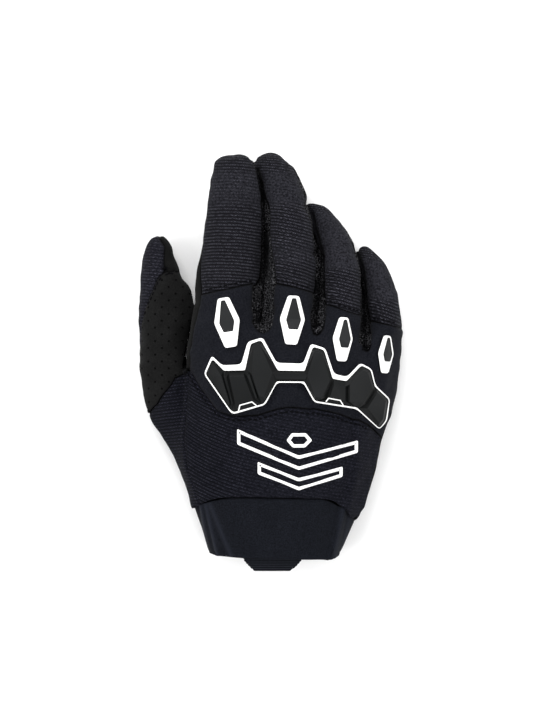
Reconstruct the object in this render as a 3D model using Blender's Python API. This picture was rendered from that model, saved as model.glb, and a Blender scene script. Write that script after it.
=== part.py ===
"""Motocross glove for the right hand, lying palm down with its fingers along +Y.

The glove's outer surface is one closed cage of quads, lofted through short tables of sections.
Each cloth or leather piece is a panel of that cage, given its own wall towards the hand.
The moulded pieces lie on the finished cage. Lengths are metres, angles are degrees, and the
tables hold shares of the named sizes that they follow.
"""

import math

import bmesh
import bpy
from mathutils import Vector
from mathutils.bvhtree import BVHTree
from mathutils.geometry import delaunay_2d_cdt

# Sizes of the hand and the cuff
HAND_WIDTH = 0.102
HAND_LENGTH = 0.102
HAND_HEIGHT = 0.047
CUFF_LENGTH = 0.0295
CUFF_WIDTH = 0.660 * HAND_WIDTH
CUFF_HEIGHT = 0.851 * HAND_HEIGHT
CUFF_STEP = 0.0006
INDEX_EDGE_BULGE = 0.0012
CROTCH_WIDTH = 0.0018
WEB_WIDTH = 0.0029

# Sizes of the fingers and the thumb
FINGER_THICKNESS = 0.574 * HAND_HEIGHT
INDEX_LENGTH = 0.0885
INDEX_WIDTH = 0.300 * HAND_WIDTH
MIDDLE_LENGTH = 0.088
MIDDLE_WIDTH = 0.270 * HAND_WIDTH
RING_LENGTH = 0.0637
RING_WIDTH = 0.230 * HAND_WIDTH
LITTLE_LENGTH = 0.050
LITTLE_WIDTH = 0.180 * HAND_WIDTH
THUMB_LENGTH = 0.0816
THUMB_WIDTH = 0.260 * HAND_WIDTH
THUMB_THICKNESS = 0.025

# Walls and clearances
RIBBED_WALL = 0.0016
PANEL_WALL = 0.0020
GUSSET_WALL = 0.0012
SUEDE_WALL = 0.0014
PATCH_WALL = 0.0018
CUFF_WALL = 0.0030
SEAM_GAP = 0.0003
SEAT_GAP = 0.00035

# Sizes of the moulded pieces and the tab
GUARD_WIDTH = 0.935 * HAND_WIDTH
GUARD_DEPTH = 0.470 * HAND_LENGTH
GUARD_HEIGHT = 0.0042
GUARD_EDGE = 0.0016
RIM_HEIGHT = 0.0018
BADGE_HEIGHT = 0.0016
INSET_HEIGHT = 0.0011
TAB_LENGTH = 0.0072
TAB_WIDTH = 0.0281
TAB_WALL = 0.0022
TAB_TUCK = 0.0060
MOULD_GRID = 0.0055
MOULD_SLIVER = 2e-9

# Where a moulded piece's faces are tested for clearance, and how many times it is lifted
SEAT_SAMPLES = tuple((u / 4, v / 4) for u in range(5) for v in range(5 - u))
SEAT_ROUNDS = 3

# Counts of quads
TOP = 4
SIDE = 3
SADDLE = 2
THUMB_TOP = 4
THUMB_UNDER = THUMB_TOP + 1
THUMB_OUTER = 4
FINGER_ROWS = 2
ROWS_PER_SECTION = 3
CUFF_ROWS = 4

# The hand's columns, from the thumb's edge over the back to the little finger's edge
COLUMNS = (
    "edge", "thumb", "web", "fold", "index", "index_middle", "middle", "middle_ring",
    "ring", "ring_little", "little", "outer",
)

# Across the hand, as shares of HAND_WIDTH from the fold beside the thumb
ACROSS = {
    "hem": (0.020, 0.025, 0.040, 0.055, 0.160, 0.275, 0.425, 0.550, 0.675, 0.760, 0.805, 0.835),
    "heel": (-0.065, -0.050, -0.032, -0.020, 0.160, 0.300, 0.460, 0.590, 0.715, 0.810, 0.870, 0.918),
    "split": (-0.200, -0.112, -0.022, 0.003, 0.145, 0.315, 0.470, 0.605, 0.720, 0.820, 0.895, 0.960),
    "knuckle": (None, None, None, 0.008, 0.160, 0.330, 0.480, 0.630, 0.760, 0.870, 0.960, 1.027),
    "root": (None, None, None, 0.028, 0.180, 0.365, 0.510, 0.632, 0.755, 0.865, 0.970, 1.055),
}

# Along the hand, as shares of HAND_LENGTH from the hem
ALONG = {
    "hem": (-0.030, -0.028, -0.020, -0.018, 0.013, 0.018, 0.015, 0.013, 0.009, -0.030, -0.085, -0.100),
    "heel": (0.200, 0.215, 0.245, 0.250, 0.215, 0.225, 0.230, 0.225, 0.205, 0.175, 0.150, 0.130),
    "split": (0.423, 0.535, 0.670, 0.665, 0.445, 0.422, 0.461, 0.455, 0.435, 0.402, 0.365, 0.300),
    "knuckle": (None, None, None, 0.740, 0.630, 0.635, 0.650, 0.645, 0.625, 0.585, 0.550, 0.515),
    "root": (None, None, None, 0.845, 0.855, 0.885, 0.880, 0.893, 0.860, 0.780, 0.785, 0.765),
}

# Above the surface that the glove lies on, as shares of HAND_HEIGHT
RISE = {
    "hem": (0.36, 0.47, 0.55, 0.62, 0.755, 0.80, 0.81, 0.79, 0.72, 0.62, 0.49, 0.34),
    "heel": (0.28, 0.40, 0.52, 0.585, 0.79, 0.86, 0.895, 0.87, 0.81, 0.69, 0.53, 0.32),
    "split": (0.255, 0.51, 0.47, 0.575, 0.86, 0.915, 0.97, 0.935, 0.88, 0.765, 0.60, 0.30),
    "knuckle": (None, None, None, 0.68, 0.925, 0.925, 1.0, 0.945, 0.915, 0.785, 0.62, 0.30),
    "root": (None, None, None, 0.72, 0.895, 0.81, 0.925, 0.83, 0.86, 0.735, 0.66, 0.30),
}

# The cuff's open end: across as shares of CUFF_WIDTH from its middle, down its length as
# shares of CUFF_LENGTH below the hem, and its rise as shares of CUFF_HEIGHT
CUFF_END = {
    "across": (-0.5, -0.485, -0.455, -0.42, -0.31, -0.167, 0.008, 0.167, 0.303, 0.402, 0.462, 0.5),
    "down": (0.915, 0.92, 0.93, 0.935, 0.95, 0.965, 0.975, 0.985, 0.99, 1.0, 0.995, 0.95),
    "rise": (0.475, 0.65, 0.775, 0.84, 0.94, 0.975, 0.99, 0.975, 0.925, 0.825, 0.69, 0.475),
}
CUFF_MIDDLE = 0.425

# The three valleys between fingers: half their width, and how far their middle dips towards
# the wrist, as shares of HAND_WIDTH, at the roots of the fingers and further down the hand
VALLEYS = {
    "index_middle": {"root": (0.050, 0.050), "knuckle": (0.030, 0.0), "other": (0.020, 0.0)},
    "middle_ring": {"root": (0.031, 0.055), "knuckle": (0.025, 0.0), "other": (0.020, 0.0)},
    "ring_little": {"root": (0.030, 0.045), "knuckle": (0.020, 0.0), "other": (0.015, 0.0)},
}

# How far the sides turn under, as shares of their own height
TURN_UNDER = 0.70

# The hand's side above the thumb, below the fold: outwards as shares of INDEX_EDGE_BULGE, and
# down as shares of the fold's height
INDEX_EDGE = ((-1.0, 0.36), (-0.4, 0.74), (3.0, 1.0))

# The crotches between digits: the heights of their rows as shares of the seam's, and how far
# they reach forward, as a share of HAND_LENGTH
CROTCH_HEIGHTS = (0.70, 0.36)
CROTCH_REACH = 0.04

# How far the fold beside the thumb dips towards the wrist, as a share of HAND_LENGTH
FOLD_DIP = 0.004

# How far the tips bulge past their last section: the fingers' as a share of their mean radius,
# with the least share of that at their edges, and the thumb's as a share of THUMB_WIDTH
TIP_BULGE = 0.55
TIP_EDGE = 0.15
THUMB_TIP_BULGE = 0.09

# Sections of each digit from its root: along and beside its axis and its width as shares of
# its length and width, its middle's rise as a share of HAND_HEIGHT, its thickness as a share
# of the named one, its slant and pitch, and where its two upper seams and its lower seams lie
STATION = ("along", "beside", "wide", "rise", "thick", "slant", "pitch", "left", "right", "under")
INDEX = (
    (0.20, 0.01, 1.12, 0.45, 1.26, 12, 0, 144, 43, 50),
    (0.34, 0.04, 1.08, 0.46, 1.09, 8, 0, 160, 38, 45),
    (0.48, 0.08, 1.00, 0.48, 1.00, 3, 0, 188, 32, 40),
    (0.64, 0.12, 0.95, 0.50, 0.93, 0, 0, 195, 28, 40),
    (0.78, 0.13, 0.87, 0.50, 0.86, 0, 3, 195, 25, 40),
    (0.865, 0.11, 0.77, 0.49, 0.77, 3, 6, 195, 25, 40),
    (0.93, 0.09, 0.60, 0.47, 0.58, 6, 8, 195, 25, 40),
)
MIDDLE = (
    (0.20, 0.00, 0.97, 0.46, 1.44, -14, 0, 128, 43, 50),
    (0.34, 0.01, 0.97, 0.48, 1.28, -8, 0, 138, 36, 45),
    (0.475, -0.02, 0.92, 0.50, 1.09, -3, 5, 145, 32, 40),
    (0.63, -0.06, 0.82, 0.46, 0.98, 0, 9, 150, 28, 40),
    (0.77, -0.17, 0.79, 0.36, 0.93, 0, 12, 155, 25, 40),
    (0.87, -0.30, 0.76, 0.28, 0.84, 0, 14, 155, 25, 40),
    (0.925, -0.37, 0.61, 0.24, 0.64, -4, 14, 155, 25, 40),
)
RING = (
    (0.13, 0.01, 0.96, 0.42, 1.43, -17, 0, 140, 39, 50),
    (0.30, 0.02, 0.92, 0.435, 1.28, -8, 0, 145, 35, 45),
    (0.47, -0.02, 0.86, 0.44, 1.09, 0, 5, 150, 32, 40),
    (0.61, -0.11, 0.83, 0.385, 0.96, 4, 12, 150, 28, 40),
    (0.74, -0.26, 0.78, 0.29, 0.85, 4, 18, 150, 25, 40),
    (0.84, -0.40, 0.68, 0.21, 0.68, 2, 22, 150, 25, 40),
    (0.91, -0.48, 0.50, 0.17, 0.48, 0, 25, 150, 25, 40),
)
LITTLE = (
    (0.18, -0.01, 0.97, 0.33, 1.15, -12, 0, 150, -8, 50),
    (0.36, -0.07, 0.97, 0.34, 1.04, -5, 2, 150, -10, 45),
    (0.53, -0.16, 0.92, 0.325, 0.91, 0, 6, 150, -12, 40),
    (0.68, -0.28, 0.84, 0.27, 0.78, 4, 12, 150, -12, 40),
    (0.80, -0.42, 0.74, 0.21, 0.65, 4, 18, 150, -12, 40),
    (0.88, -0.53, 0.60, 0.165, 0.52, 2, 22, 150, -12, 40),
    (0.93, -0.60, 0.42, 0.14, 0.38, 0, 25, 150, -12, 40),
)
THUMB = (
    (0.19, -0.02, 1.10, 0.26, 0.96, 38, 0, 178, 42, 50),
    (0.36, 0.00, 1.06, 0.27, 1.00, 25, 0, 172, 40, 50),
    (0.52, 0.00, 1.035, 0.27, 1.00, 15, 0, 142, 35, 50),
    (0.655, 0.015, 0.97, 0.265, 0.96, 6, 0, 118, 30, 50),
    (0.76, -0.07, 0.82, 0.26, 0.90, 18, 0, 96, 24, 50),
    (0.84, -0.10, 0.64, 0.25, 0.80, 8, 3, 68, 12, 45),
    (0.91, -0.12, 0.44, 0.24, 0.64, 2, 6, 56, 2, 45),
    (0.95, -0.10, 0.26, 0.235, 0.46, 0, 8, 55, -5, 45),
)
# The thumb's patch reaches this many of its sections from the base
PATCH_SECTIONS = 5

# Where each digit's length is measured from, as shares of HAND_WIDTH and HAND_LENGTH
BASES = {
    "thumb": (-0.117, 0.535),
    "index": (0.195, 0.865),
    "middle": (0.508, 0.875),
    "ring": (0.755, 0.855),
    "little": (0.973, 0.775),
}

# The knuckle guard's outline, clockwise from its top left tip: the rim's outer edge and the
# black moulding's edge, across as shares of GUARD_WIDTH and up as shares of GUARD_DEPTH
GUARD_PLACE = (0.070, 0.345)
GUARD_OUTLINE = (
    (0.044, 0.809, 0.050, 0.755),
    (0.099, 0.705, 0.107, 0.633),
    (0.197, 0.713, 0.225, 0.638),
    (0.233, 0.952, 0.249, 0.931),
    (0.313, 1.000, 0.313, 0.970),
    (0.389, 0.729, 0.393, 0.631),
    (0.528, 0.721, 0.537, 0.628),
    (0.568, 0.934, 0.580, 0.896),
    (0.647, 0.883, 0.639, 0.864),
    (0.693, 0.615, 0.682, 0.553),
    (0.761, 0.583, 0.758, 0.527),
    (0.833, 0.729, 0.840, 0.691),
    (0.895, 0.663, 0.885, 0.649),
    (0.916, 0.489, 0.909, 0.468),
    (0.998, 0.340, 0.986, 0.330),
    (0.984, 0.101, 0.970, 0.112),
    (0.941, 0.005, 0.941, 0.034),
    (0.812, 0.234, 0.815, 0.266),
    (0.586, 0.309, 0.594, 0.335),
    (0.529, 0.513, 0.532, 0.537),
    (0.390, 0.515, 0.393, 0.539),
    (0.329, 0.282, 0.318, 0.303),
    (0.163, 0.183, 0.160, 0.213),
    (0.142, 0.202, 0.143, 0.239),
    (0.001, 0.610, 0.016, 0.609),
)

# Crests and grooves of the guard: across, up, and height as a share of GUARD_HEIGHT
GUARD_CRESTS = (
    (0.051, 0.69, 0.95), (0.040, 0.61, 0.95), (0.107, 0.42, 0.95), (0.125, 0.58, 0.50),
    (0.171, 0.29, 0.50), (0.205, 0.58, 0.85), (0.225, 0.36, 0.85), (0.246, 0.63, 0.50),
    (0.289, 0.40, 0.50), (0.270, 0.90, 1.00), (0.308, 0.91, 1.00), (0.361, 0.63, 1.00),
    (0.313, 0.40, 0.95), (0.262, 0.63, 1.00), (0.590, 0.85, 1.00), (0.625, 0.83, 1.00),
    (0.656, 0.60, 1.00), (0.610, 0.40, 0.95), (0.567, 0.62, 1.00), (0.692, 0.48, 0.55),
    (0.743, 0.46, 0.55), (0.733, 0.35, 0.55), (0.838, 0.62, 1.00), (0.872, 0.60, 1.00),
    (0.886, 0.43, 0.95), (0.818, 0.33, 0.95), (0.790, 0.50, 1.00), (0.900, 0.38, 0.50),
    (0.855, 0.28, 0.50), (0.930, 0.35, 0.85), (0.962, 0.28, 0.85), (0.945, 0.12, 0.85),
    (0.900, 0.20, 0.85),
)

# Finger badges: width, length and place on the hand as shares of HAND_WIDTH and HAND_LENGTH,
# lean, and how far the inset lies to one side as a share of the badge's width
BADGES = {
    "index": (0.128, 0.251, 0.183, 0.890, -9, 0.0),
    "middle": (0.125, 0.242, 0.511, 0.900, 3, 0.08),
    "ring": (0.101, 0.218, 0.761, 0.803, 3, 0.12),
    "little": (0.082, 0.188, 0.980, 0.728, 4, 0.13),
}
# Their six corners and their inset's six, as shares of the badge's width and length
BADGE_OUTLINE = (
    (-0.22, 0.5), (0.22, 0.5), (0.5, 0.02), (0.23, -0.5), (-0.23, -0.5), (-0.5, 0.02),
)
INSET_OUTLINE = (
    (-0.10, 0.42), (0.05, 0.42), (0.24, 0.01), (0.13, -0.18), (-0.18, -0.18), (-0.30, 0.0),
)

# The pull tab: its middle as a share of HAND_WIDTH, the cuff's edge over it as a share of
# CUFF_LENGTH, its rows past that edge with their widths as shares of TAB_LENGTH and TAB_WIDTH,
# and its count of columns
TAB_MIDDLE = 0.43
TAB_EDGE = 0.975
TAB_ROWS = ((0.0, 1.0), (0.3, 0.92), (0.7, 0.74), (1.0, 0.56))
TAB_COLUMNS = 6

# Colour, roughness and metallic value of each material
MATERIALS = {
    "ribbed_cloth": ((0.013, 0.014, 0.019), 0.90, 0.0),
    "panel_cloth": ((0.014, 0.015, 0.022), 0.88, 0.0),
    "mesh_cloth": ((0.008, 0.008, 0.010), 0.92, 0.0),
    "suede": ((0.012, 0.012, 0.012), 0.95, 0.0),
    "neoprene": ((0.010, 0.012, 0.016), 0.80, 0.0),
    "tab_webbing": ((0.012, 0.013, 0.017), 0.85, 0.0),
    "black_rubber": ((0.026, 0.027, 0.027), 0.45, 0.0),
    "white_rubber": ((0.90, 0.90, 0.88), 0.50, 0.0),
    "grey_rubber": ((0.038, 0.038, 0.038), 0.50, 0.0),
}


def clear_scene():
    """Removes every object that the file opened with."""
    for item in list(bpy.data.objects):
        bpy.data.objects.remove(item, do_unlink=True)


def material(name):
    """Returns the named Principled material, made once."""
    found = bpy.data.materials.get(name)
    if found:
        return found
    colour, roughness, metallic = MATERIALS[name]
    made = bpy.data.materials.new(name)
    made.use_nodes = True
    shader = made.node_tree.nodes["Principled BSDF"]
    shader.inputs["Base Color"].default_value = (*colour, 1.0)
    shader.inputs["Roughness"].default_value = roughness
    shader.inputs["Metallic"].default_value = metallic
    made.diffuse_color = (*colour, 1.0)
    return made


def add_object(name, points, faces, finish):
    """Adds one solid, whose faces are given counter-clockwise as seen from outside."""
    mesh = bpy.data.meshes.new(name)
    mesh.from_pydata([tuple(p) for p in points], [], faces)
    shape = bmesh.new()
    shape.from_mesh(mesh)
    bmesh.ops.triangulate(shape, faces=[f for f in shape.faces if len(f.verts) > 3])
    shape.to_mesh(mesh)
    shape.free()
    mesh.materials.append(material(finish))
    mesh.shade_smooth()
    mesh.set_sharp_from_angle(angle=math.radians(40))
    item = bpy.data.objects.new(name, mesh)
    bpy.context.scene.collection.objects.link(item)
    return item


def curve_at(points, t):
    """Reads a smooth curve through points, where t counts the points passed."""
    last = len(points) - 1
    i = min(int(t), last - 1)
    f = t - i
    p1, p2 = points[i], points[i + 1]
    p0 = points[i - 1] if i > 0 else 2 * p1 - p2
    p3 = points[i + 2] if i + 2 <= last else 2 * p2 - p1
    return 0.5 * (
        2 * p1
        + (p2 - p0) * f
        + (2 * p0 - 5 * p1 + 4 * p2 - p3) * f * f
        + (3 * p1 - p0 - 3 * p2 + p3) * f * f * f
    )


def spread(points, knots, counts):
    """Samples a curve through points, with counts[i] steps from knot i to knot i + 1."""
    found = [curve_at(points, knots[0])]
    for start, end, count in zip(knots, knots[1:], counts):
        for step in range(1, count + 1):
            found.append(curve_at(points, start + (end - start) * step / count))
    return found


def row_points(name):
    """The column points of one section of the hand."""
    if name == "cuff":
        return [
            Vector((
                CUFF_MIDDLE * HAND_WIDTH + CUFF_WIDTH * x,
                -CUFF_LENGTH * y,
                CUFF_HEIGHT * z,
            ))
            for x, y, z in zip(CUFF_END["across"], CUFF_END["down"], CUFF_END["rise"])
        ]
    return [
        Vector((HAND_WIDTH * x, HAND_LENGTH * y, HAND_HEIGHT * z))
        for x, y, z in zip(ACROSS[name], ALONG[name], RISE[name])
        if x is not None
    ]


def valley(name, middle):
    """The three points of a valley between two fingers on one section."""
    across = []
    for column in ("index_middle", "middle_ring", "ring_little"):
        half, dip = VALLEYS[column].get(name, VALLEYS[column]["other"])
        centre = middle[column]
        across.append([
            centre + Vector((-half * HAND_WIDTH, 0, 0)),
            centre + Vector((0, -dip * HAND_LENGTH, 0)),
            centre + Vector((half * HAND_WIDTH, 0, 0)),
        ])
    return across


def back_line(name):
    """One section's line over the back of the hand, from the fold to the outer edge."""
    points = row_points(name)
    columns = COLUMNS[-len(points):]
    middle = dict(zip(columns, points))
    valleys = valley(name, middle)
    corners = [middle["fold"]]
    for crest, three in zip(("index", "middle", "ring"), valleys):
        corners += [middle[crest], *three]
    corners += [middle["little"], middle["outer"]]
    line = [corners[0]]
    for finger in range(4):
        at = finger * 4
        for step in range(1, TOP + 1):
            line.append(curve_at(corners, at + 2 * step / TOP))
        if finger < 3:
            line += [corners[at + 3], corners[at + 4]]
    return line


def thumb_line(name):
    """One section's line over the thumb's base, from its edge to the fold."""
    edge, top, web, fold = row_points(name)[:4]
    line = spread([edge, top, web, fold], (0, 1, 2), (THUMB_TOP // 2, THUMB_TOP // 2))
    return line + [(web + fold) / 2 + Vector((0, -FOLD_DIP * HAND_LENGTH, 0)), fold]


def turned_under(point, count, outward):
    """Points down a rounded side, from below point to where it meets the floor."""
    under = point.z * TURN_UNDER
    found = []
    for step in range(1, count + 1):
        angle = math.radians(90 * step / count)
        found.append(Vector((
            point.x - outward * under * (1 - math.cos(angle)),
            point.y,
            point.z * (1 - math.sin(angle)),
        )))
    return found


def index_side(fold):
    """Points down the hand's side above the thumb, from below the fold to the floor."""
    return [
        fold + Vector((INDEX_EDGE_BULGE * outwards, 0, -down * fold.z))
        for outwards, down in INDEX_EDGE
    ]


def underside(top_line, first, last):
    """The floor points under a section, from its outer edge back to its first column."""
    x0, x1 = top_line[0].x, top_line[-1].x
    found = []
    for point in reversed(top_line[1:-1]):
        share = (point.x - x0) / (x1 - x0)
        found.append(Vector((first.x + (last.x - first.x) * share, point.y, 0)))
    return found


def hand_ring(name):
    """A closed section through the hand above the thumb, starting at the fold."""
    line = back_line(name)
    outer = turned_under(line[-1], SIDE, 1)
    inner = index_side(line[0])
    return line + outer + underside(line, inner[-1], outer[-1]) + inner[::-1]


def body_ring(name):
    """A closed section through the hand or cuff below the thumb, starting at its edge."""
    line = thumb_line(name) + back_line(name)[1:]
    outer = turned_under(line[-1], SIDE, 1)
    inner = turned_under(line[0], THUMB_OUTER, -1)
    floor = underside(line, inner[-1], outer[-1])
    # The thumb's underside has one column more than its top.
    spare = (floor[-1] + inner[-1]) / 2
    return line + outer + floor + [spare] + inner[::-1]


class Cage:
    """The glove's outer surface: points, quads, and the panel that each quad belongs to."""

    def __init__(self):
        self.points = []
        self.quads = []
        self.panels = []

    def add(self, point):
        """Adds a point no lower than the floor and returns its number."""
        self.points.append(Vector((point.x, point.y, max(point.z, 0.0))))
        return len(self.points) - 1

    def ring(self, points):
        """Adds a ring of points and returns their numbers."""
        return [self.add(p) for p in points]

    def quad(self, a, b, c, d, panel):
        """Adds a quad, counter-clockwise as seen from outside."""
        self.quads.append((a, b, c, d))
        self.panels.append(panel)

    def band(self, lower, upper, panel_of):
        """Joins two rings, lower towards the wrist; panel_of names each column's panel."""
        count = len(lower)
        for k in range(count):
            j = (k + 1) % count
            self.quad(lower[k], lower[j], upper[j], upper[k], panel_of(k))

    def grid(self, rows, panel_of):
        """Joins rows of points that don't close, lower rows towards the wrist."""
        for i in range(len(rows) - 1):
            for k in range(len(rows[i]) - 1):
                self.quad(
                    rows[i][k], rows[i][k + 1], rows[i + 1][k + 1], rows[i + 1][k], panel_of(i, k)
                )

    def split(self, quad):
        """A quad as two triangles, along its shorter diagonal."""
        a, b, c, d = quad
        one = (self.points[a] - self.points[c]).length
        two = (self.points[b] - self.points[d]).length
        return ((a, b, c), (a, c, d)) if one < two else ((a, b, d), (b, c, d))

    def normals(self):
        """The outward direction at each point, weighted by the corner's angle."""
        found = [Vector() for _ in self.points]
        for quad in self.quads:
            for i, corner in enumerate(quad):
                here = self.points[corner]
                one = self.points[quad[(i + 1) % 4]] - here
                two = self.points[quad[i - 1]] - here
                if one.length > 1e-7 and two.length > 1e-7:
                    found[corner] += one.cross(two).normalized() * one.angle(two)
        return [n.normalized() for n in found]


def between(sections, count):
    """Rings of points between sections, smooth along each column, with both ends."""
    rings = []
    for i in range(len(sections) - 1):
        for step in range(count):
            t = i + step / count
            rings.append([
                curve_at([section[k] for section in sections], t)
                for k in range(len(sections[0]))
            ])
    rings.append(sections[-1])
    return rings


def base_of(name):
    """The point on the floor that a digit's length is measured from."""
    across, along = BASES[name]
    return Vector((across * HAND_WIDTH, along * HAND_LENGTH, 0))


def digit_section(row, base, length, width, thickness, counts):
    """One ring round a digit, starting at its left upper seam."""
    s = dict(zip(STATION, row))
    centre = Vector((
        base.x + s["beside"] * width,
        base.y + s["along"] * length,
        s["rise"] * HAND_HEIGHT,
    ))
    half_wide = s["wide"] * width / 2
    half_thick = s["thick"] * thickness / 2
    slant, pitch = math.radians(s["slant"]), math.radians(s["pitch"])
    top, right, under, left = counts
    angles = [s["left"], s["right"], -s["under"], -180 + s["under"], s["left"] - 360]
    ring = []
    for start, end, count in zip(angles, angles[1:], (top, right, under, left)):
        for step in range(count):
            angle = math.radians(start + (end - start) * step / count)
            x = half_wide * math.cos(angle)
            z = half_thick * math.sin(angle)
            ring.append(centre + Vector((
                x * math.cos(slant),
                x * math.sin(slant) + z * math.sin(pitch),
                z * math.cos(pitch),
            )))
    return ring


def cap(cage, ring, counts, along, panel_of):
    """Closes a digit's tip with a grid that bulges along its axis."""
    top, right, under, left = counts
    centre = sum((cage.points[i] for i in ring), Vector()) / len(ring)
    size = sum((cage.points[i] - centre).length for i in ring) / len(ring)
    upper = ring[:top + 1]
    lower = ring[top + right:top + right + under + 1][::-1]
    outer = ring[top:top + right + 1]
    inner = (ring + ring[:1])[-(left + 1):][::-1]
    rows = [upper]
    for i in range(1, right):
        down = i / right
        mate = inner[round(down * left)]
        middle = [mate]
        for k in range(1, top):
            share = k / top
            flat = (
                cage.points[upper[k]].lerp(cage.points[lower[k]], down)
                + cage.points[mate].lerp(cage.points[outer[i]], share)
            ) / 2
            reach = 1 - ((flat - centre).length / size) ** 2
            middle.append(cage.add(flat + along * size * TIP_BULGE * max(reach, TIP_EDGE)))
        rows.append(middle + [outer[i]])
    rows.append(lower)
    for i in range(len(rows) - 1):
        for k in range(top):
            cage.quad(rows[i][k], rows[i][k + 1], rows[i + 1][k + 1], rows[i + 1][k], panel_of(i))


def add_finger(cage, name, root, base, sections, length, width, side_panels):
    """Lofts one finger from its root ring to its tip."""
    counts = (TOP, SIDE, TOP, SIDE)
    rings = [[cage.points[i] for i in root]]
    rings += [digit_section(row, base, length, width, FINGER_THICKNESS, counts) for row in sections]
    lofted = between(rings, FINGER_ROWS)
    before = root
    right_panel, left_panel = side_panels

    def panel_of(k, tongue):
        if k < TOP:
            return "knuckle_panel" if tongue else name + "_back"
        if k < TOP + SIDE:
            return right_panel
        if k < 2 * TOP + SIDE:
            return "palm"
        return left_panel

    for number, ring in enumerate(lofted[1:]):
        now = cage.ring(ring)
        cage.band(before, now, lambda k, t=number < FINGER_ROWS: panel_of(k, t))
        before = now
    pitch = math.radians(sections[-1][STATION.index("pitch")])
    along = Vector((0, math.cos(pitch), -math.sin(pitch)))
    cap(cage, before, counts, along, lambda i: name + "_back" if i < SIDE - 1 else "palm")


def add_thumb(cage, root):
    """Lofts the thumb from the split at its base to its tip."""
    counts = (THUMB_TOP, SIDE, THUMB_UNDER, THUMB_OUTER)
    base = base_of("thumb")
    rings = [[cage.points[i] for i in root]]
    rings += [
        digit_section(row, base, THUMB_LENGTH, THUMB_WIDTH, THUMB_THICKNESS, counts)
        for row in THUMB
    ]
    lofted = between(rings, FINGER_ROWS)
    patch_rows = FINGER_ROWS * PATCH_SECTIONS
    before = root
    for number, ring in enumerate(lofted[1:]):
        now = cage.ring(ring)
        top = "thumb_patch" if number < patch_rows else "thumb_front"
        edges = (THUMB_TOP, THUMB_TOP + SIDE + THUMB_UNDER)
        cage.band(
            before, now,
            lambda k, t=top, e=edges: t if k < e[0] else "thumb_front" if k < e[1] else "thumb_back",
        )
        before = now
    centre = sum((cage.points[i] for i in before), Vector()) / len(before)
    tip = cage.add(centre + Vector((0, THUMB_TIP_BULGE * THUMB_WIDTH, 0)))
    split = THUMB_TOP + SIDE + THUMB_UNDER
    count = len(before)
    for k in range(0, count, 2):
        panel = "thumb_front" if k < split else "thumb_back"
        cage.quad(before[k], before[(k + 1) % count], before[(k + 2) % count], tip, panel)


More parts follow.
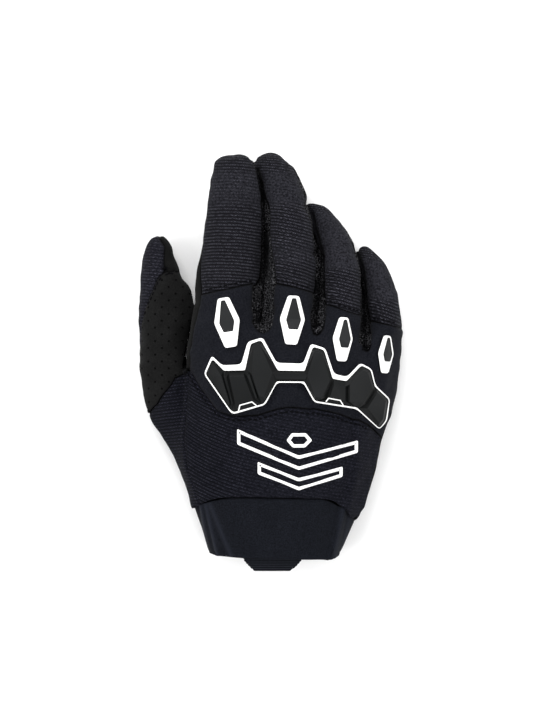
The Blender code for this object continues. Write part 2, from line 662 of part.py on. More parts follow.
def build_cage():
    """Builds the glove's whole outer surface, open at the wrist."""
    cage = Cage()
    across = 4 * TOP + 3 * SADDLE
    thumb_across = THUMB_TOP + SADDLE

    def below_panel(k):
        if k < thumb_across:
            return "thumb_gusset"
        if k < thumb_across + across:
            return "hand_back"
        if k < 2 * (thumb_across + across) + SIDE + 1:
            return "palm"
        return "thumb_gusset"

    cuff_rows = between([body_ring("cuff"), body_ring("hem")], CUFF_ROWS)
    body_rows = between([body_ring("hem"), body_ring("heel"), body_ring("split")], ROWS_PER_SECTION)
    before = cage.ring(cuff_rows[0])
    for ring in cuff_rows[1:]:
        now = cage.ring(ring)
        cage.band(before, now, lambda k: "cuff")
        before = now
    for ring in body_rows[1:-1]:
        now = cage.ring(ring)
        cage.band(before, now, below_panel)
        before = now
    split = cage.ring(body_rows[-1])
    cage.band(before, split, below_panel)

    # The web between the thumb and the hand
    top_web = split[THUMB_TOP:THUMB_TOP + SADDLE + 1]
    back_start = 2 * (thumb_across + across) + SIDE + 1
    floor = split[thumb_across + across + SIDE:back_start + 1]
    floor_web = floor[across:across + SADDLE + 1][::-1]
    web_rows = [top_web]
    sides = index_side(cage.points[top_web[-1]])
    for right in sides[:-1]:
        row = []
        for k in range(SADDLE + 1):
            offset = WEB_WIDTH * (k / SADDLE - 1)
            row.append(cage.add(Vector((right.x + offset, right.y, right.z))))
        web_rows.append(row)
    web_rows.append(floor_web)
    cage.grid(web_rows, lambda i, k: "palm")

    thumb_root = (
        split[:THUMB_TOP + 1]
        + [web_rows[1][0], web_rows[2][0]]
        + floor[across + SADDLE:]
        + split[back_start + 1:]
    )
    add_thumb(cage, thumb_root)

    hand_start = (
        split[thumb_across:thumb_across + across + SIDE]
        + floor[:across + 1]
        + [web_rows[2][-1], web_rows[1][-1]]
    )
    sections = [
        [cage.points[i] for i in hand_start],
        hand_ring("knuckle"),
        hand_ring("root"),
    ]

    def above_panel(k):
        return "knuckle_panel" if k < across else "palm"

    before = hand_start
    rows = between(sections, ROWS_PER_SECTION)
    for ring in rows[1:]:
        now = cage.ring(ring)
        cage.band(before, now, above_panel)
        before = now
    root = before

    # The crotches between the fingers, and each finger's root ring
    back = root[:across + 1]
    floor = root[across + SIDE:2 * across + SIDE + 1][::-1]
    outer_side = root[across + 1:across + SIDE]
    inner_side = root[2 * across + SIDE + 1:][::-1]
    crotches = []
    for number, panel in enumerate(
        ("gusset_index_middle", "gusset_middle_ring", "gusset_ring_little")
    ):
        at = TOP + number * (TOP + SADDLE)
        top_row = back[at:at + SADDLE + 1]
        low_row = floor[at:at + SADDLE + 1]
        middle = cage.points[top_row[1]]
        rows = [top_row]
        for height in CROTCH_HEIGHTS:
            row = []
            for k in range(SADDLE + 1):
                x = middle.x + CROTCH_WIDTH * (k / SADDLE - 0.5)
                y = middle.y + CROTCH_REACH * HAND_LENGTH
                row.append(cage.add(Vector((x, y, middle.z * height))))
            rows.append(row)
        rows.append(low_row)
        cage.grid(rows, lambda i, k, p=panel: p)
        crotches.append(rows)

    fingers = (
        ("index", INDEX, INDEX_LENGTH, INDEX_WIDTH),
        ("middle", MIDDLE, MIDDLE_LENGTH, MIDDLE_WIDTH),
        ("ring", RING, RING_LENGTH, RING_WIDTH),
        ("little", LITTLE, LITTLE_LENGTH, LITTLE_WIDTH),
    )
    gussets = ("gusset_index_middle", "gusset_middle_ring", "gusset_ring_little")
    for number, (name, sections, length, width) in enumerate(fingers):
        at = number * (TOP + SADDLE)
        top_row = back[at:at + TOP + 1]
        low_row = floor[at:at + TOP + 1][::-1]
        right = [row[0] for row in crotches[number][1:-1]] if number < 3 else outer_side
        left = [row[-1] for row in crotches[number - 1][1:-1]] if number else inner_side
        ring = top_row + right + low_row + left[::-1]
        sides = (
            gussets[number] if number < 3 else "palm",
            gussets[number - 1] if number else "palm",
        )
        add_finger(cage, name, ring, base_of(name), sections, length, width, sides)
    return cage


def panel_solid(cage, normals, panel, wall, lift, finish):
    """Gives one panel of the cage its wall, and pulls its edges in by half the seam's gap."""
    faces = [q for q, p in zip(cage.quads, cage.panels) if p == panel]
    used = sorted({i for face in faces for i in face})
    number = {i: n for n, i in enumerate(used)}
    edges = {}
    for face in faces:
        for i in range(4):
            edges[(face[i], face[(i + 1) % 4])] = face
    border = [edge for edge in edges if (edge[1], edge[0]) not in edges]
    pull = {}
    for a, b in border:
        along = (cage.points[b] - cage.points[a]).normalized()
        for end in (a, b):
            pull.setdefault(end, []).append(normals[end].cross(along).normalized())
    shift = {}
    for i, ways in pull.items():
        total = sum(ways, Vector())
        share = max(0.5, 1 + ways[0].dot(ways[-1]))
        shift[i] = total / share * (SEAM_GAP / 2)
    outer = [cage.points[i] + normals[i] * lift + shift.get(i, Vector()) for i in used]
    inner = [point - normals[i] * wall for point, i in zip(outer, used)]
    size = len(used)
    halves = [half for face in faces for half in cage.split(face)]
    solid = [tuple(number[i] for i in half) for half in halves]
    solid += [tuple(size + number[i] for i in reversed(half)) for half in halves]
    solid += [(number[b], number[a], size + number[a], size + number[b]) for a, b in border]
    return add_object(panel, outer + inner, solid, finish)


PANELS = {
    "hand_back": (RIBBED_WALL, 0.0, "ribbed_cloth"),
    "knuckle_panel": (PANEL_WALL, 0.0, "panel_cloth"),
    "index_back": (RIBBED_WALL, 0.0, "ribbed_cloth"),
    "middle_back": (RIBBED_WALL, 0.0, "ribbed_cloth"),
    "ring_back": (RIBBED_WALL, 0.0, "ribbed_cloth"),
    "little_back": (RIBBED_WALL, 0.0, "ribbed_cloth"),
    "gusset_index_middle": (GUSSET_WALL, 0.0, "mesh_cloth"),
    "gusset_middle_ring": (GUSSET_WALL, 0.0, "mesh_cloth"),
    "gusset_ring_little": (GUSSET_WALL, 0.0, "mesh_cloth"),
    "palm": (SUEDE_WALL, 0.0, "suede"),
    "thumb_back": (RIBBED_WALL, 0.0, "ribbed_cloth"),
    "thumb_front": (SUEDE_WALL, 0.0, "suede"),
    "thumb_patch": (PATCH_WALL, 0.0, "suede"),
    "thumb_gusset": (RIBBED_WALL, 0.0, "ribbed_cloth"),
    "cuff": (CUFF_WALL, -CUFF_STEP, "neoprene"),
}


class Surface:
    """The cage as a surface that moulded pieces are laid on."""

    def __init__(self, cage, normals):
        self.triangles = [half for quad in cage.quads for half in cage.split(quad)]
        self.tree = BVHTree.FromPolygons(cage.points, self.triangles)
        self.points = cage.points
        self.normals = normals

    def at(self, x, y):
        """The highest point over (x, y) and the smooth outward direction there."""
        hit, _, face, _ = self.tree.ray_cast(Vector((x, y, 1.0)), Vector((0, 0, -1)))
        if hit is None:
            hit, _, face, _ = self.tree.find_nearest(Vector((x, y, HAND_HEIGHT / 3)))
        total = Vector()
        for i in self.triangles[face]:
            total += self.normals[i] / max((self.points[i] - hit).length, 1e-5)
        return hit, total.normalized()

    def seat(self, flat, triangles):
        """Points over flat places that clear the surface by SEAT_GAP, also between them.

        Returns the points and the outward direction at each.
        """
        found = [self.at(p.x, p.y) for p in flat]
        ways = [out for _, out in found]
        points = [hit + out * SEAT_GAP for hit, out in found]
        for _ in range(SEAT_ROUNDS):
            lift = [0.0] * len(points)
            for triangle in triangles:
                a, b, c = (points[i] for i in triangle)
                for u, v in SEAT_SAMPLES:
                    here = a + (b - a) * u + (c - a) * v
                    near, out, _, distance = self.tree.find_nearest(here)
                    clear = distance if (here - near).dot(out) > 0 else -distance
                    for i in triangle:
                        lift[i] = max(lift[i], SEAT_GAP - clear)
            points = [p + way * rise for p, way, rise in zip(points, ways, lift)]
        return points, ways


def inside(point, outline):
    """Whether a flat point is inside an outline."""
    found = False
    for (x0, y0), (x1, y1) in zip(outline, outline[1:] + outline[:1]):
        if (y0 > point[1]) != (y1 > point[1]):
            if point[0] < x0 + (point[1] - y0) / (y1 - y0) * (x1 - x0):
                found = not found
    return found


def shrunk(outline, gap):
    """An outline moved inwards by gap, for a clockwise or counter-clockwise outline."""
    area = sum(x0 * y1 - x1 * y0 for (x0, y0), (x1, y1) in zip(outline, outline[1:] + outline[:1]))
    turn = 1 if area > 0 else -1
    moved = []
    for i, here in enumerate(outline):
        before = Vector(outline[i - 1])
        after = Vector(outline[(i + 1) % len(outline)])
        here = Vector(here)
        one = (here - before).normalized()
        two = (after - here).normalized()
        n1 = Vector((-one.y, one.x)) * turn
        n2 = Vector((-two.y, two.x)) * turn
        moved.append(tuple(here + (n1 + n2) / max(0.4, 1 + n1.dot(n2)) * gap))
    return moved


def filled(outline, step):
    """An outline with points added so that no edge is longer than step."""
    found = []
    for here, after in zip(outline, outline[1:] + outline[:1]):
        count = max(1, math.ceil((Vector(after) - Vector(here)).length / step))
        for i in range(count):
            found.append(tuple(Vector(here).lerp(Vector(after), i / count)))
    return found


def mould(name, surface, outline, holes, heights, edge_height, finish):
    """A moulded piece on the surface: a flat outline with holes, raised to its heights.

    heights lists (x, y, height) points inside the outline; its edges stand edge_height high.
    """
    loops = [filled(outline, MOULD_GRID)] + [filled(hole, MOULD_GRID) for hole in holes]
    flat, edges = [], []
    for loop in loops:
        start = len(flat)
        flat += [Vector(p) for p in loop]
        edges += [(start + i, start + (i + 1) % len(loop)) for i in range(len(loop))]
    flat += [Vector((x, y)) for x, y, _ in heights]
    points, _, triangles, sources, _, _ = delaunay_2d_cdt(flat, edges, [], 0, 1e-7)
    kept = []
    for triangle in triangles:
        a, b, c = (points[i] for i in triangle)
        middle = (a + b + c) / 3
        if abs((b - a).cross(c - a)) < MOULD_SLIVER:
            continue
        if inside(middle, outline) and not any(inside(middle, hole) for hole in holes):
            kept.append(tuple(triangle))
    rise = {}
    first = sum(len(loop) for loop in loops)
    for i, origin in enumerate(sources):
        picked = [o for o in origin if o >= first]
        rise[i] = heights[picked[0] - first][2] if picked else edge_height
    used = sorted({i for t in kept for i in t})
    number = {i: n for n, i in enumerate(used)}
    solid = [tuple(number[i] for i in t) for t in kept]
    bottom, out = surface.seat([points[i] for i in used], solid)
    top = [point + way * rise[i] for point, way, i in zip(bottom, out, used)]
    size = len(used)
    solid += [tuple(size + number[i] for i in reversed(t)) for t in kept]
    sides = {(t[i], t[(i + 1) % 3]) for t in kept for i in range(3)}
    for a, b in sides:
        if (b, a) not in sides:
            solid.append((number[b], number[a], size + number[a], size + number[b]))
    return add_object(name, top + bottom, solid, finish)


def add_guard(surface):
    """Adds the black knuckle guard and the white rim round it."""
    x0, y0 = GUARD_PLACE[0] * HAND_WIDTH, GUARD_PLACE[1] * HAND_LENGTH
    rim = [(x0 + a * GUARD_WIDTH, y0 + b * GUARD_DEPTH) for a, b, _, _ in GUARD_OUTLINE]
    edge = [(x0 + c * GUARD_WIDTH, y0 + d * GUARD_DEPTH) for _, _, c, d in GUARD_OUTLINE]
    crests = [
        (x0 + a * GUARD_WIDTH, y0 + b * GUARD_DEPTH, h * GUARD_HEIGHT) for a, b, h in GUARD_CRESTS
    ]
    mould("guard_rim", surface, rim, [edge], [], RIM_HEIGHT, "white_rubber")
    inner = shrunk(edge, SEAM_GAP)
    mould("knuckle_guard", surface, inner, [], crests, GUARD_EDGE, "black_rubber")


def add_badges(surface):
    """Adds each finger's white badge and the dark inset in it."""
    for name, (width, length, across, along, lean, side) in BADGES.items():
        turn = math.radians(-lean)

        def placed(shares, beside=0.0):
            found = []
            for a, b in shares:
                x, y = (a + beside) * width * HAND_WIDTH, b * length * HAND_LENGTH
                found.append((
                    across * HAND_WIDTH + x * math.cos(turn) - y * math.sin(turn),
                    along * HAND_LENGTH + x * math.sin(turn) + y * math.cos(turn),
                ))
            return found

        outline, hole = placed(BADGE_OUTLINE), placed(INSET_OUTLINE, side)
        mould("badge_" + name, surface, outline, [hole], [], BADGE_HEIGHT, "white_rubber")
        inner = shrunk(hole, SEAM_GAP)
        mould("inset_" + name, surface, inner, [], [], INSET_HEIGHT, "grey_rubber")


def add_tab(surface):
    """Adds the pull tab, tucked under the cuff's inner face and standing out past its edge."""
    middle_x = TAB_MIDDLE * HAND_WIDTH
    edge_y = -CUFF_LENGTH * TAB_EDGE
    rows = [(TAB_TUCK, 1.0)] + [(-TAB_LENGTH * past, wide) for past, wide in TAB_ROWS]
    sheets = ([], [])
    for along, wide in rows:
        for k in range(TAB_COLUMNS + 1):
            x = middle_x + (k / TAB_COLUMNS - 0.5) * TAB_WIDTH * wide
            hit, out = surface.at(x, edge_y + TAB_TUCK)
            top = hit - out * (CUFF_STEP + CUFF_WALL + SEAM_GAP)
            for sheet, depth in zip(sheets, (0.0, TAB_WALL)):
                point = top - out * depth
                sheet.append(Vector((point.x, edge_y + along, point.z)))
    points = sheets[0] + sheets[1]
    size = len(sheets[0])
    wide = TAB_COLUMNS + 1
    faces = []
    for i in range(len(rows) - 1):
        for k in range(TAB_COLUMNS):
            a = i * wide + k
            quad = (a, a + wide, a + wide + 1, a + 1)
            faces.append(quad)
            faces.append(tuple(size + n for n in reversed(quad)))
    loop = list(range(wide))
    loop += [wide * (i + 1) + TAB_COLUMNS for i in range(len(rows) - 1)]
    loop += [size - 1 - k for k in range(1, wide)]
    loop += [wide * i for i in range(len(rows) - 2, 0, -1)]
    for a, b in zip(loop, loop[1:] + loop[:1]):
        faces.append((a, b, size + b, size + a))
    add_object("pull_tab", points, faces, "tab_webbing")


def centre_on_origin():
    """Moves the meshes so that the glove's box is centred on the origin and rests at zero."""
    meshes = [o.data for o in bpy.context.scene.objects if o.type == "MESH"]
    points = [v.co for mesh in meshes for v in mesh.vertices]
    low = Vector([min(p[i] for p in points) for i in range(3)])
    high = Vector([max(p[i] for p in points) for i in range(3)])
    move = Vector((-(low.x + high.x) / 2, -(low.y + high.y) / 2, -low.z))
    for mesh in meshes:
        for vertex in mesh.vertices:
            vertex.co += move


def main():
    """Builds the glove."""
    clear_scene()
    cage = build_cage()
    normals = cage.normals()
    for name, (wall, lift, finish) in PANELS.items():
        panel_solid(cage, normals, name, wall, lift, finish)
    surface = Surface(cage, normals)
    add_guard(surface)
    add_badges(surface)
    add_tab(surface)
    centre_on_origin()


main()
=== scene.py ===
"""Looks of a right-hand motocross glove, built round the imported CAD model."""

import logging
import math
from dataclasses import dataclass, field
from enum import Enum
from typing import Callable, Iterable, Sequence

import bmesh
import bpy
import numpy as np
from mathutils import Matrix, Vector
from mathutils.bvhtree import BVHTree
from mathutils.geometry import delaunay_2d_cdt
from mathutils.kdtree import KDTree


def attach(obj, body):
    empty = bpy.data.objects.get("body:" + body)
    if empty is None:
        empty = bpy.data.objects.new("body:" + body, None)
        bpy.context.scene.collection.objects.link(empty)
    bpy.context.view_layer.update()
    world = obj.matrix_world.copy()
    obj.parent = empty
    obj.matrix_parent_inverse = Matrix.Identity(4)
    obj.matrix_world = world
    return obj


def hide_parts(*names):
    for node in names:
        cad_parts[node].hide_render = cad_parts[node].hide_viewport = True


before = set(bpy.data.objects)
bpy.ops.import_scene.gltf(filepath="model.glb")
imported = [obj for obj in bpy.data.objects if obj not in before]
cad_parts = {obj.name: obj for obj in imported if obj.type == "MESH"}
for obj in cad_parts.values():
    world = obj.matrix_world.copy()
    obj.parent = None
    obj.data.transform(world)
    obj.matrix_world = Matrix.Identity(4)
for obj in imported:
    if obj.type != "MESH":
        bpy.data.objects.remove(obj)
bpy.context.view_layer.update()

logging.basicConfig(level=logging.INFO, format="%(message)s")
LOG = logging.getLogger("glove")

Colour = tuple[float, float, float]
Flat = tuple[float, float]

# The photograph's scale, and the pixel over the frame's origin
PIXEL = 0.00051
PIXEL_X = 270.5
PIXEL_Y = 361.5

MILLIMETRE = 0.001

# The camera: its height, the place that it looks straight down on, and the height of what is raised
CAMERA_HEIGHT = 1.5
CAMERA_AIM = (-0.002, 0.0033)
RAISED = 0.030


def at_pixel(x: float, y: float, rise: float = 0.0) -> Flat:
    """Turns a place in the photograph into a place over the floor.

    Args:
        x: Pixels from the left edge.
        y: Pixels from the top edge.
        rise: How far what is seen there stands nearer the camera than the cloth's edges do.

    Returns:
        The place in metres.
    """
    nearer = 1 - rise / CAMERA_HEIGHT
    flat = ((x - PIXEL_X) * PIXEL, (PIXEL_Y - y) * PIXEL)
    return tuple(aim + (value - aim) * nearer for value, aim in zip(flat, CAMERA_AIM))


def over_glove(places: Iterable[Sequence[float]], rise: float = 0.0) -> list[Flat]:
    """Turns places in the photograph into places over the floor, one by one."""
    return [at_pixel(*place, rise) for place in places]


def srgb(red: int, green: int, blue: int) -> Colour:
    """Turns a colour as a screen shows it, in steps from 0 to 255, into a linear one."""
    shares = [channel / 255 for channel in (red, green, blue)]
    return tuple(s / 12.92 if s <= 0.04045 else ((s + 0.055) / 1.055) ** 2.4 for s in shares)


# The UV maps of the cloth, how far from a seam its painted shade ends in millimetres, and the colour of the
# painted shade in seams and slits
ROWS_MAP = "cloth"
SEAMS_MAP = "seams"
SEAM_FADE = (0.12, 0.75)
SEAM_SHADE = srgb(6, 6, 7)

# The size of the soft light and dark patches in a surface
PATCHES = 0.012


Value = float | bpy.types.NodeSocket
Tint = Colour | bpy.types.NodeSocket


class Graph:
    """Builds the node tree of one material."""

    def __init__(self, name: str, roughness: float, **sockets: float) -> None:
        """Starts a Principled material.

        Args:
            name: The material's name.
            roughness: Its mean roughness.
            **sockets: Other Principled values, by socket name with _ for a space.
        """
        self.material = bpy.data.materials.new(name)
        self.material.use_nodes = True
        self.tree = self.material.node_tree
        self.shader = self.tree.nodes["Principled BSDF"]
        self.shader.inputs["Roughness"].default_value = roughness
        for socket, value in sockets.items():
            self.shader.inputs[socket.replace("_", " ")].default_value = value

    def node(self, kind: str, **settings: object) -> bpy.types.Node:
        """Adds a node.

        Args:
            kind: The node's type.
            **settings: Its own properties.

        Returns:
            The node.
        """
        made = self.tree.nodes.new(kind)
        for key, value in settings.items():
            setattr(made, key, value)
        return made

    def put(self, socket: bpy.types.NodeSocket, value: Value | Sequence[float]) -> None:
        """Links an output to a socket, or sets the socket to a value.

        Args:
            socket: The input.
            value: A node's output, a number or some numbers.
        """
        if isinstance(value, bpy.types.NodeSocket):
            self.tree.links.new(value, socket)
        else:
            socket.default_value = value

    def maths(self, operation: str, *values: Value) -> bpy.types.NodeSocket:
        """Adds a Math node.

        Args:
            operation: What it does.
            *values: Its numbers or sockets.

        Returns:
            Its result.
        """
        made = self.node("ShaderNodeMath", operation=operation)
        for socket, value in zip(made.inputs, values):
            self.put(socket, value)
        return made.outputs[0]

    def times(self, one: Value, two: Value) -> bpy.types.NodeSocket:
        """The product of two values."""
        return self.maths("MULTIPLY", one, two)

    def plus(self, one: Value, two: Value) -> bpy.types.NodeSocket:
        """The sum of two values."""
        return self.maths("ADD", one, two)

    def sine(self, place: Value, period: float) -> bpy.types.NodeSocket:
        """A wave along a distance."""
        return self.maths("SINE", self.times(place, math.tau / period))

    def split(self, vector: bpy.types.NodeSocket) -> list[bpy.types.NodeSocket]:
        """Takes a vector apart.

        Args:
            vector: The vector.

        Returns:
            Its three parts.
        """
        made = self.node("ShaderNodeSeparateXYZ")
        self.put(made.inputs[0], vector)
        return made.outputs[:]

    def place(self) -> bpy.types.NodeSocket:
        """The place on the piece, in metres."""
        return self.node("ShaderNodeTexCoord").outputs["Object"]

    def facing_up(self) -> bpy.types.NodeSocket:
        """How far the surface faces up, from -1 to 1."""
        return self.split(self.node("ShaderNodeTexCoord").outputs["Normal"])[2]

    def cloth(self) -> list[bpy.types.NodeSocket]:
        """The distances along and across the cloth's rows, in metres."""
        return self.split(self.node("ShaderNodeUVMap", uv_map=ROWS_MAP).outputs[0])[:2]

    def seams(self) -> list[bpy.types.NodeSocket]:
        """The distance from the nearest seam in millimetres, for the painted shade, and how far the painted
        light of ribs and folds shows from 0 to 1.
        """
        return self.split(self.node("ShaderNodeUVMap", uv_map=SEAMS_MAP).outputs[0])[:2]

    def sunk(self, colour: Tint) -> bpy.types.NodeSocket:
        """A colour with painted shade that darkens it into the seams and slits."""
        return self.blend(self.spread(self.seams()[0], *SEAM_FADE), SEAM_SHADE, colour)

    def noise(self, size: float, detail: float = 2.0) -> bpy.types.NodeSocket:
        """Adds a noise over the piece.

        Args:
            size: The size of its lumps in metres.
            detail: How many finer layers it has.

        Returns:
            The noise, from 0 to 1.
        """
        made = self.node("ShaderNodeTexNoise")
        self.put(made.inputs["Vector"], self.place())
        made.inputs["Scale"].default_value = 1.0 / size
        made.inputs["Detail"].default_value = detail
        return made.outputs["Fac"]

    def spread(
        self, value: Value, low: float, high: float, to_low: float = 0.0, to_high: float = 1.0
    ) -> bpy.types.NodeSocket:
        """Moves a value from one range to another, clamped.

        Args:
            value: The value.
            low: The start of its range.
            high: The end of its range.
            to_low: What the start becomes.
            to_high: What the end becomes.

        Returns:
            The moved value.
        """
        made = self.node("ShaderNodeMapRange")
        self.put(made.inputs["Value"], value)
        for name, number in (
            ("From Min", low), ("From Max", high), ("To Min", to_low), ("To Max", to_high)
        ):
            made.inputs[name].default_value = number
        return made.outputs[0]

    def blend(self, share: Value, first: Tint, second: Tint) -> bpy.types.NodeSocket:
        """Mixes two colours.

        Args:
            share: How much of the second shows.
            first: One colour.
            second: The other.

        Returns:
            The mixed colour.
        """
        made = self.node("ShaderNodeMix", data_type="RGBA")
        self.put(made.inputs[0], share)
        for socket, value in ((made.inputs[6], first), (made.inputs[7], second)):
            self.put(socket, value if isinstance(value, bpy.types.NodeSocket) else (*value, 1.0))
        return made.outputs[2]

    def bump(self, height: Value, distance: float, strength: float = 1.0) -> None:
        """Adds relief, over any relief that is there already.

        Args:
            height: The relief, from 0 to 1.
            distance: How deep it is, in metres.
            strength: How much of it shows.
        """
        made = self.node("ShaderNodeBump")
        made.inputs["Strength"].default_value = strength
        made.inputs["Distance"].default_value = distance
        self.put(made.inputs["Height"], height)
        before = self.shader.inputs["Normal"].links
        if before:
            self.put(made.inputs["Normal"], before[0].from_socket)
        self.put(self.shader.inputs["Normal"], made.outputs[0])

    def finish(self, colour: Tint, roughness: Value | None = None) -> bpy.types.Material:
        """Sets the colour and roughness.

        Args:
            colour: The colour.
            roughness: The roughness, or None for the mean.

        Returns:
            The material.
        """
        colour = colour if isinstance(colour, bpy.types.NodeSocket) else (*colour, 1.0)
        self.put(self.shader.inputs["Base Color"], colour)
        if roughness is not None:
            self.put(self.shader.inputs["Roughness"], roughness)
        return self.material


@dataclass(frozen=True)
class RibbedCloth:
    """Stretch cloth with fine knitted ribs, each a row of small stitches, with painted highlight on the ribs'
    tops and painted shade in their grooves.

    Attributes:
        period: From one rib to the next.
        stitch: From one stitch to the next.
        mean: How light the cloth is where no ribs show.
        stray: How far the rows stray.
        sway: How far a rib sways with its stitches, as a share of the period.
        narrow: How narrow the light along a rib is.
        relief: The ribs' height.
    """

    name: str = "ribbed_cloth"
    # Painted highlight on the ribs' tops and painted shade in their grooves; the cloth's own tone lies
    # between the two
    crest_highlight: Colour = srgb(68, 68, 76)
    groove: Colour = srgb(11, 11, 14)
    period: float = 0.00160
    stitch: float = 0.00150
    mean: float = 0.27
    stray: float = 0.0006
    sway: float = 0.17
    narrow: float = 1.7
    relief: float = 0.0003

    def make(self) -> bpy.types.Material:
        """Makes the material.

        Returns:
            The material.
        """
        graph = Graph(self.name, 0.88, Sheen_Weight=0.01, Sheen_Roughness=0.5, Specular_IOR_Level=0.03)
        along, across = graph.cloth()
        stray = graph.times(graph.maths("SUBTRACT", graph.noise(0.006, 1.0), 0.5), self.stray)
        rows = graph.maths("DIVIDE", graph.plus(across, stray), self.period)
        slip = graph.times(graph.maths("FLOOR", rows), 0.5 * self.stitch)
        wave = graph.sine(graph.maths("DIVIDE", graph.plus(along, slip), self.stitch), 1.0)
        rib = graph.sine(graph.plus(rows, graph.times(wave, self.sway)), 1.0)
        relief = graph.times(graph.spread(rib, -1.0, 1.0), graph.spread(wave, -1.0, 1.0, 0.40, 1.0))
        fuzz = graph.noise(0.0009, 4.0)
        patches = graph.noise(PATCHES, 3.0)
        _, share = graph.seams()
        plain = graph.times(graph.maths("SUBTRACT", 1.0, share), self.mean)
        lit = graph.plus(graph.times(graph.maths("POWER", relief, self.narrow), share), plain)
        lit = graph.times(lit, graph.spread(fuzz, 0.35, 0.65, 0.15, 1.5))
        lit = graph.times(lit, graph.spread(patches, 0.3, 0.7, 0.75, 1.0))
        graph.bump(graph.plus(graph.times(relief, share), graph.times(fuzz, 0.3)), self.relief, 0.9)
        return graph.finish(graph.sunk(graph.blend(lit, self.groove, self.crest_highlight)))


@dataclass(frozen=True)
class KnitCloth:
    """Smooth fine-gauge stretch cloth, with a painted highlight along one side of its folds."""

    name: str
    light: Colour
    dark: Colour
    # The colour of the painted highlight along one side of a fold
    crest_highlight: Colour = srgb(43, 46, 56)
    gauge: float = 0.0007
    relief: float = 0.00010

    def make(self) -> bpy.types.Material:
        """Makes the material.

        Returns:
            The material.
        """
        graph = Graph(self.name, 0.86, Sheen_Weight=0.02, Sheen_Roughness=0.45, Specular_IOR_Level=0.03)
        along, across = graph.cloth()
        loops = graph.times(graph.sine(along, self.gauge), graph.sine(across, self.gauge))
        weave = graph.spread(loops, -1.0, 1.0)
        fuzz = graph.noise(0.0006, 3.0)
        patches = graph.spread(graph.noise(PATCHES, 3.0), 0.3, 0.7, 0.8, 1.0)
        tone = graph.times(graph.spread(fuzz, 0.34, 0.66, 0.20, 1.08), patches)
        tone = graph.times(tone, graph.spread(weave, 0.0, 1.0, 0.75, 1.0))
        graph.bump(graph.plus(weave, fuzz), self.relief, 0.7)
        # Painted highlight: the seams map's second value lightens one side of a fold
        _, fold = graph.seams()
        knit = graph.blend(tone, self.dark, self.light)
        return graph.finish(graph.sunk(graph.blend(fold, knit, self.crest_highlight)))


@dataclass(frozen=True)
class MeshCloth:
    """Open mesh with rows of small holes, and sparse painted glints on its threads."""

    name: str = "mesh_cloth"
    # The threads' colour at a painted glint's brightest; elsewhere they are darker
    thread: Colour = srgb(82, 82, 85)
    hole: Colour = srgb(3, 3, 4)
    pitch: float = 0.00125

    def make(self) -> bpy.types.Material:
        """Makes the material.

        Returns:
            The material.
        """
        graph = Graph(self.name, 0.85, Specular_IOR_Level=0.03)
        cells = graph.node("ShaderNodeTexVoronoi", feature="DISTANCE_TO_EDGE")
        graph.put(cells.inputs["Vector"], graph.place())
        cells.inputs["Scale"].default_value = 1.0 / self.pitch
        cells.inputs["Randomness"].default_value = 0.8
        solid = graph.spread(cells.outputs["Distance"], 0.03, 0.14, 1.0, 0.0)
        graph.bump(solid, 0.0004, 0.9)
        # Painted highlight: sparse glints brighten the threads
        glints = graph.spread(graph.noise(0.0011, 1.0), 0.42, 0.62, 0.22, 1.0)
        return graph.finish(graph.sunk(graph.blend(graph.times(solid, glints), self.hole, self.thread)))


@dataclass(frozen=True)
class Suede:
    """Brushed synthetic suede, with rows of punched holes where it has a pitch.

    Attributes:
        across: From one hole to the next in a row, or 0 for no holes.
        along: From one row of holes to the next.
        hole: The holes' radius.
        punched: The holes' colour.
        steep: How far up the surface faces where the holes begin, and where they are fully there.
    """

    name: str
    light: Colour = srgb(22, 22, 22)
    dark: Colour = srgb(6, 6, 6)
    across: float = 0.0
    along: float = 0.0034
    hole: float = 0.00056
    punched: Colour = srgb(1, 1, 1)
    steep: tuple[float, float] = (0.35, 0.50)

    def make(self) -> bpy.types.Material:
        """Makes the material.

        Returns:
            The material.
        """
        graph = Graph(self.name, 0.93, Sheen_Weight=0.02, Sheen_Roughness=0.6, Specular_IOR_Level=0.02)
        nap = graph.noise(0.0006, 4.0)
        patches = graph.spread(graph.noise(0.009, 3.0), 0.3, 0.7, 0.55, 1.0)
        tone = graph.times(graph.spread(nap, 0.3, 0.7, 0.25, 1.0), patches)
        colour = graph.blend(tone, self.dark, self.light)
        graph.bump(nap, 0.00025, 0.8)
        if not self.across:
            return graph.finish(graph.sunk(colour))
        holes = self.holes(graph)
        graph.bump(graph.maths("SUBTRACT", 1.0, holes), 0.0007)
        return graph.finish(graph.sunk(graph.blend(holes, colour, self.punched)))

    def holes(self, graph: Graph) -> bpy.types.NodeSocket:
        """Adds the punched holes, in rows that are each shifted by half a pitch.

        Args:
            graph: The material.

        Returns:
            1 in a hole and 0 beside it.
        """
        x, y, _ = graph.split(graph.place())
        row = graph.maths("DIVIDE", y, self.along)
        number = graph.maths("ROUND", row)
        odd = graph.times(graph.maths("PINGPONG", number, 1.0), 0.5)
        column = graph.plus(graph.maths("DIVIDE", x, self.across), odd)
        beside = graph.maths("SUBTRACT", column, graph.maths("ROUND", column))
        beyond = graph.maths("SUBTRACT", row, number)
        squares = [
            graph.times(side, side)
            for side in (graph.times(beside, self.across), graph.times(beyond, self.along))
        ]
        away = graph.maths("SQRT", graph.plus(*squares))
        punched = graph.spread(away, self.hole * 0.7, self.hole * 1.25, 1.0, 0.0)
        return graph.times(punched, graph.spread(graph.facing_up(), *self.steep))


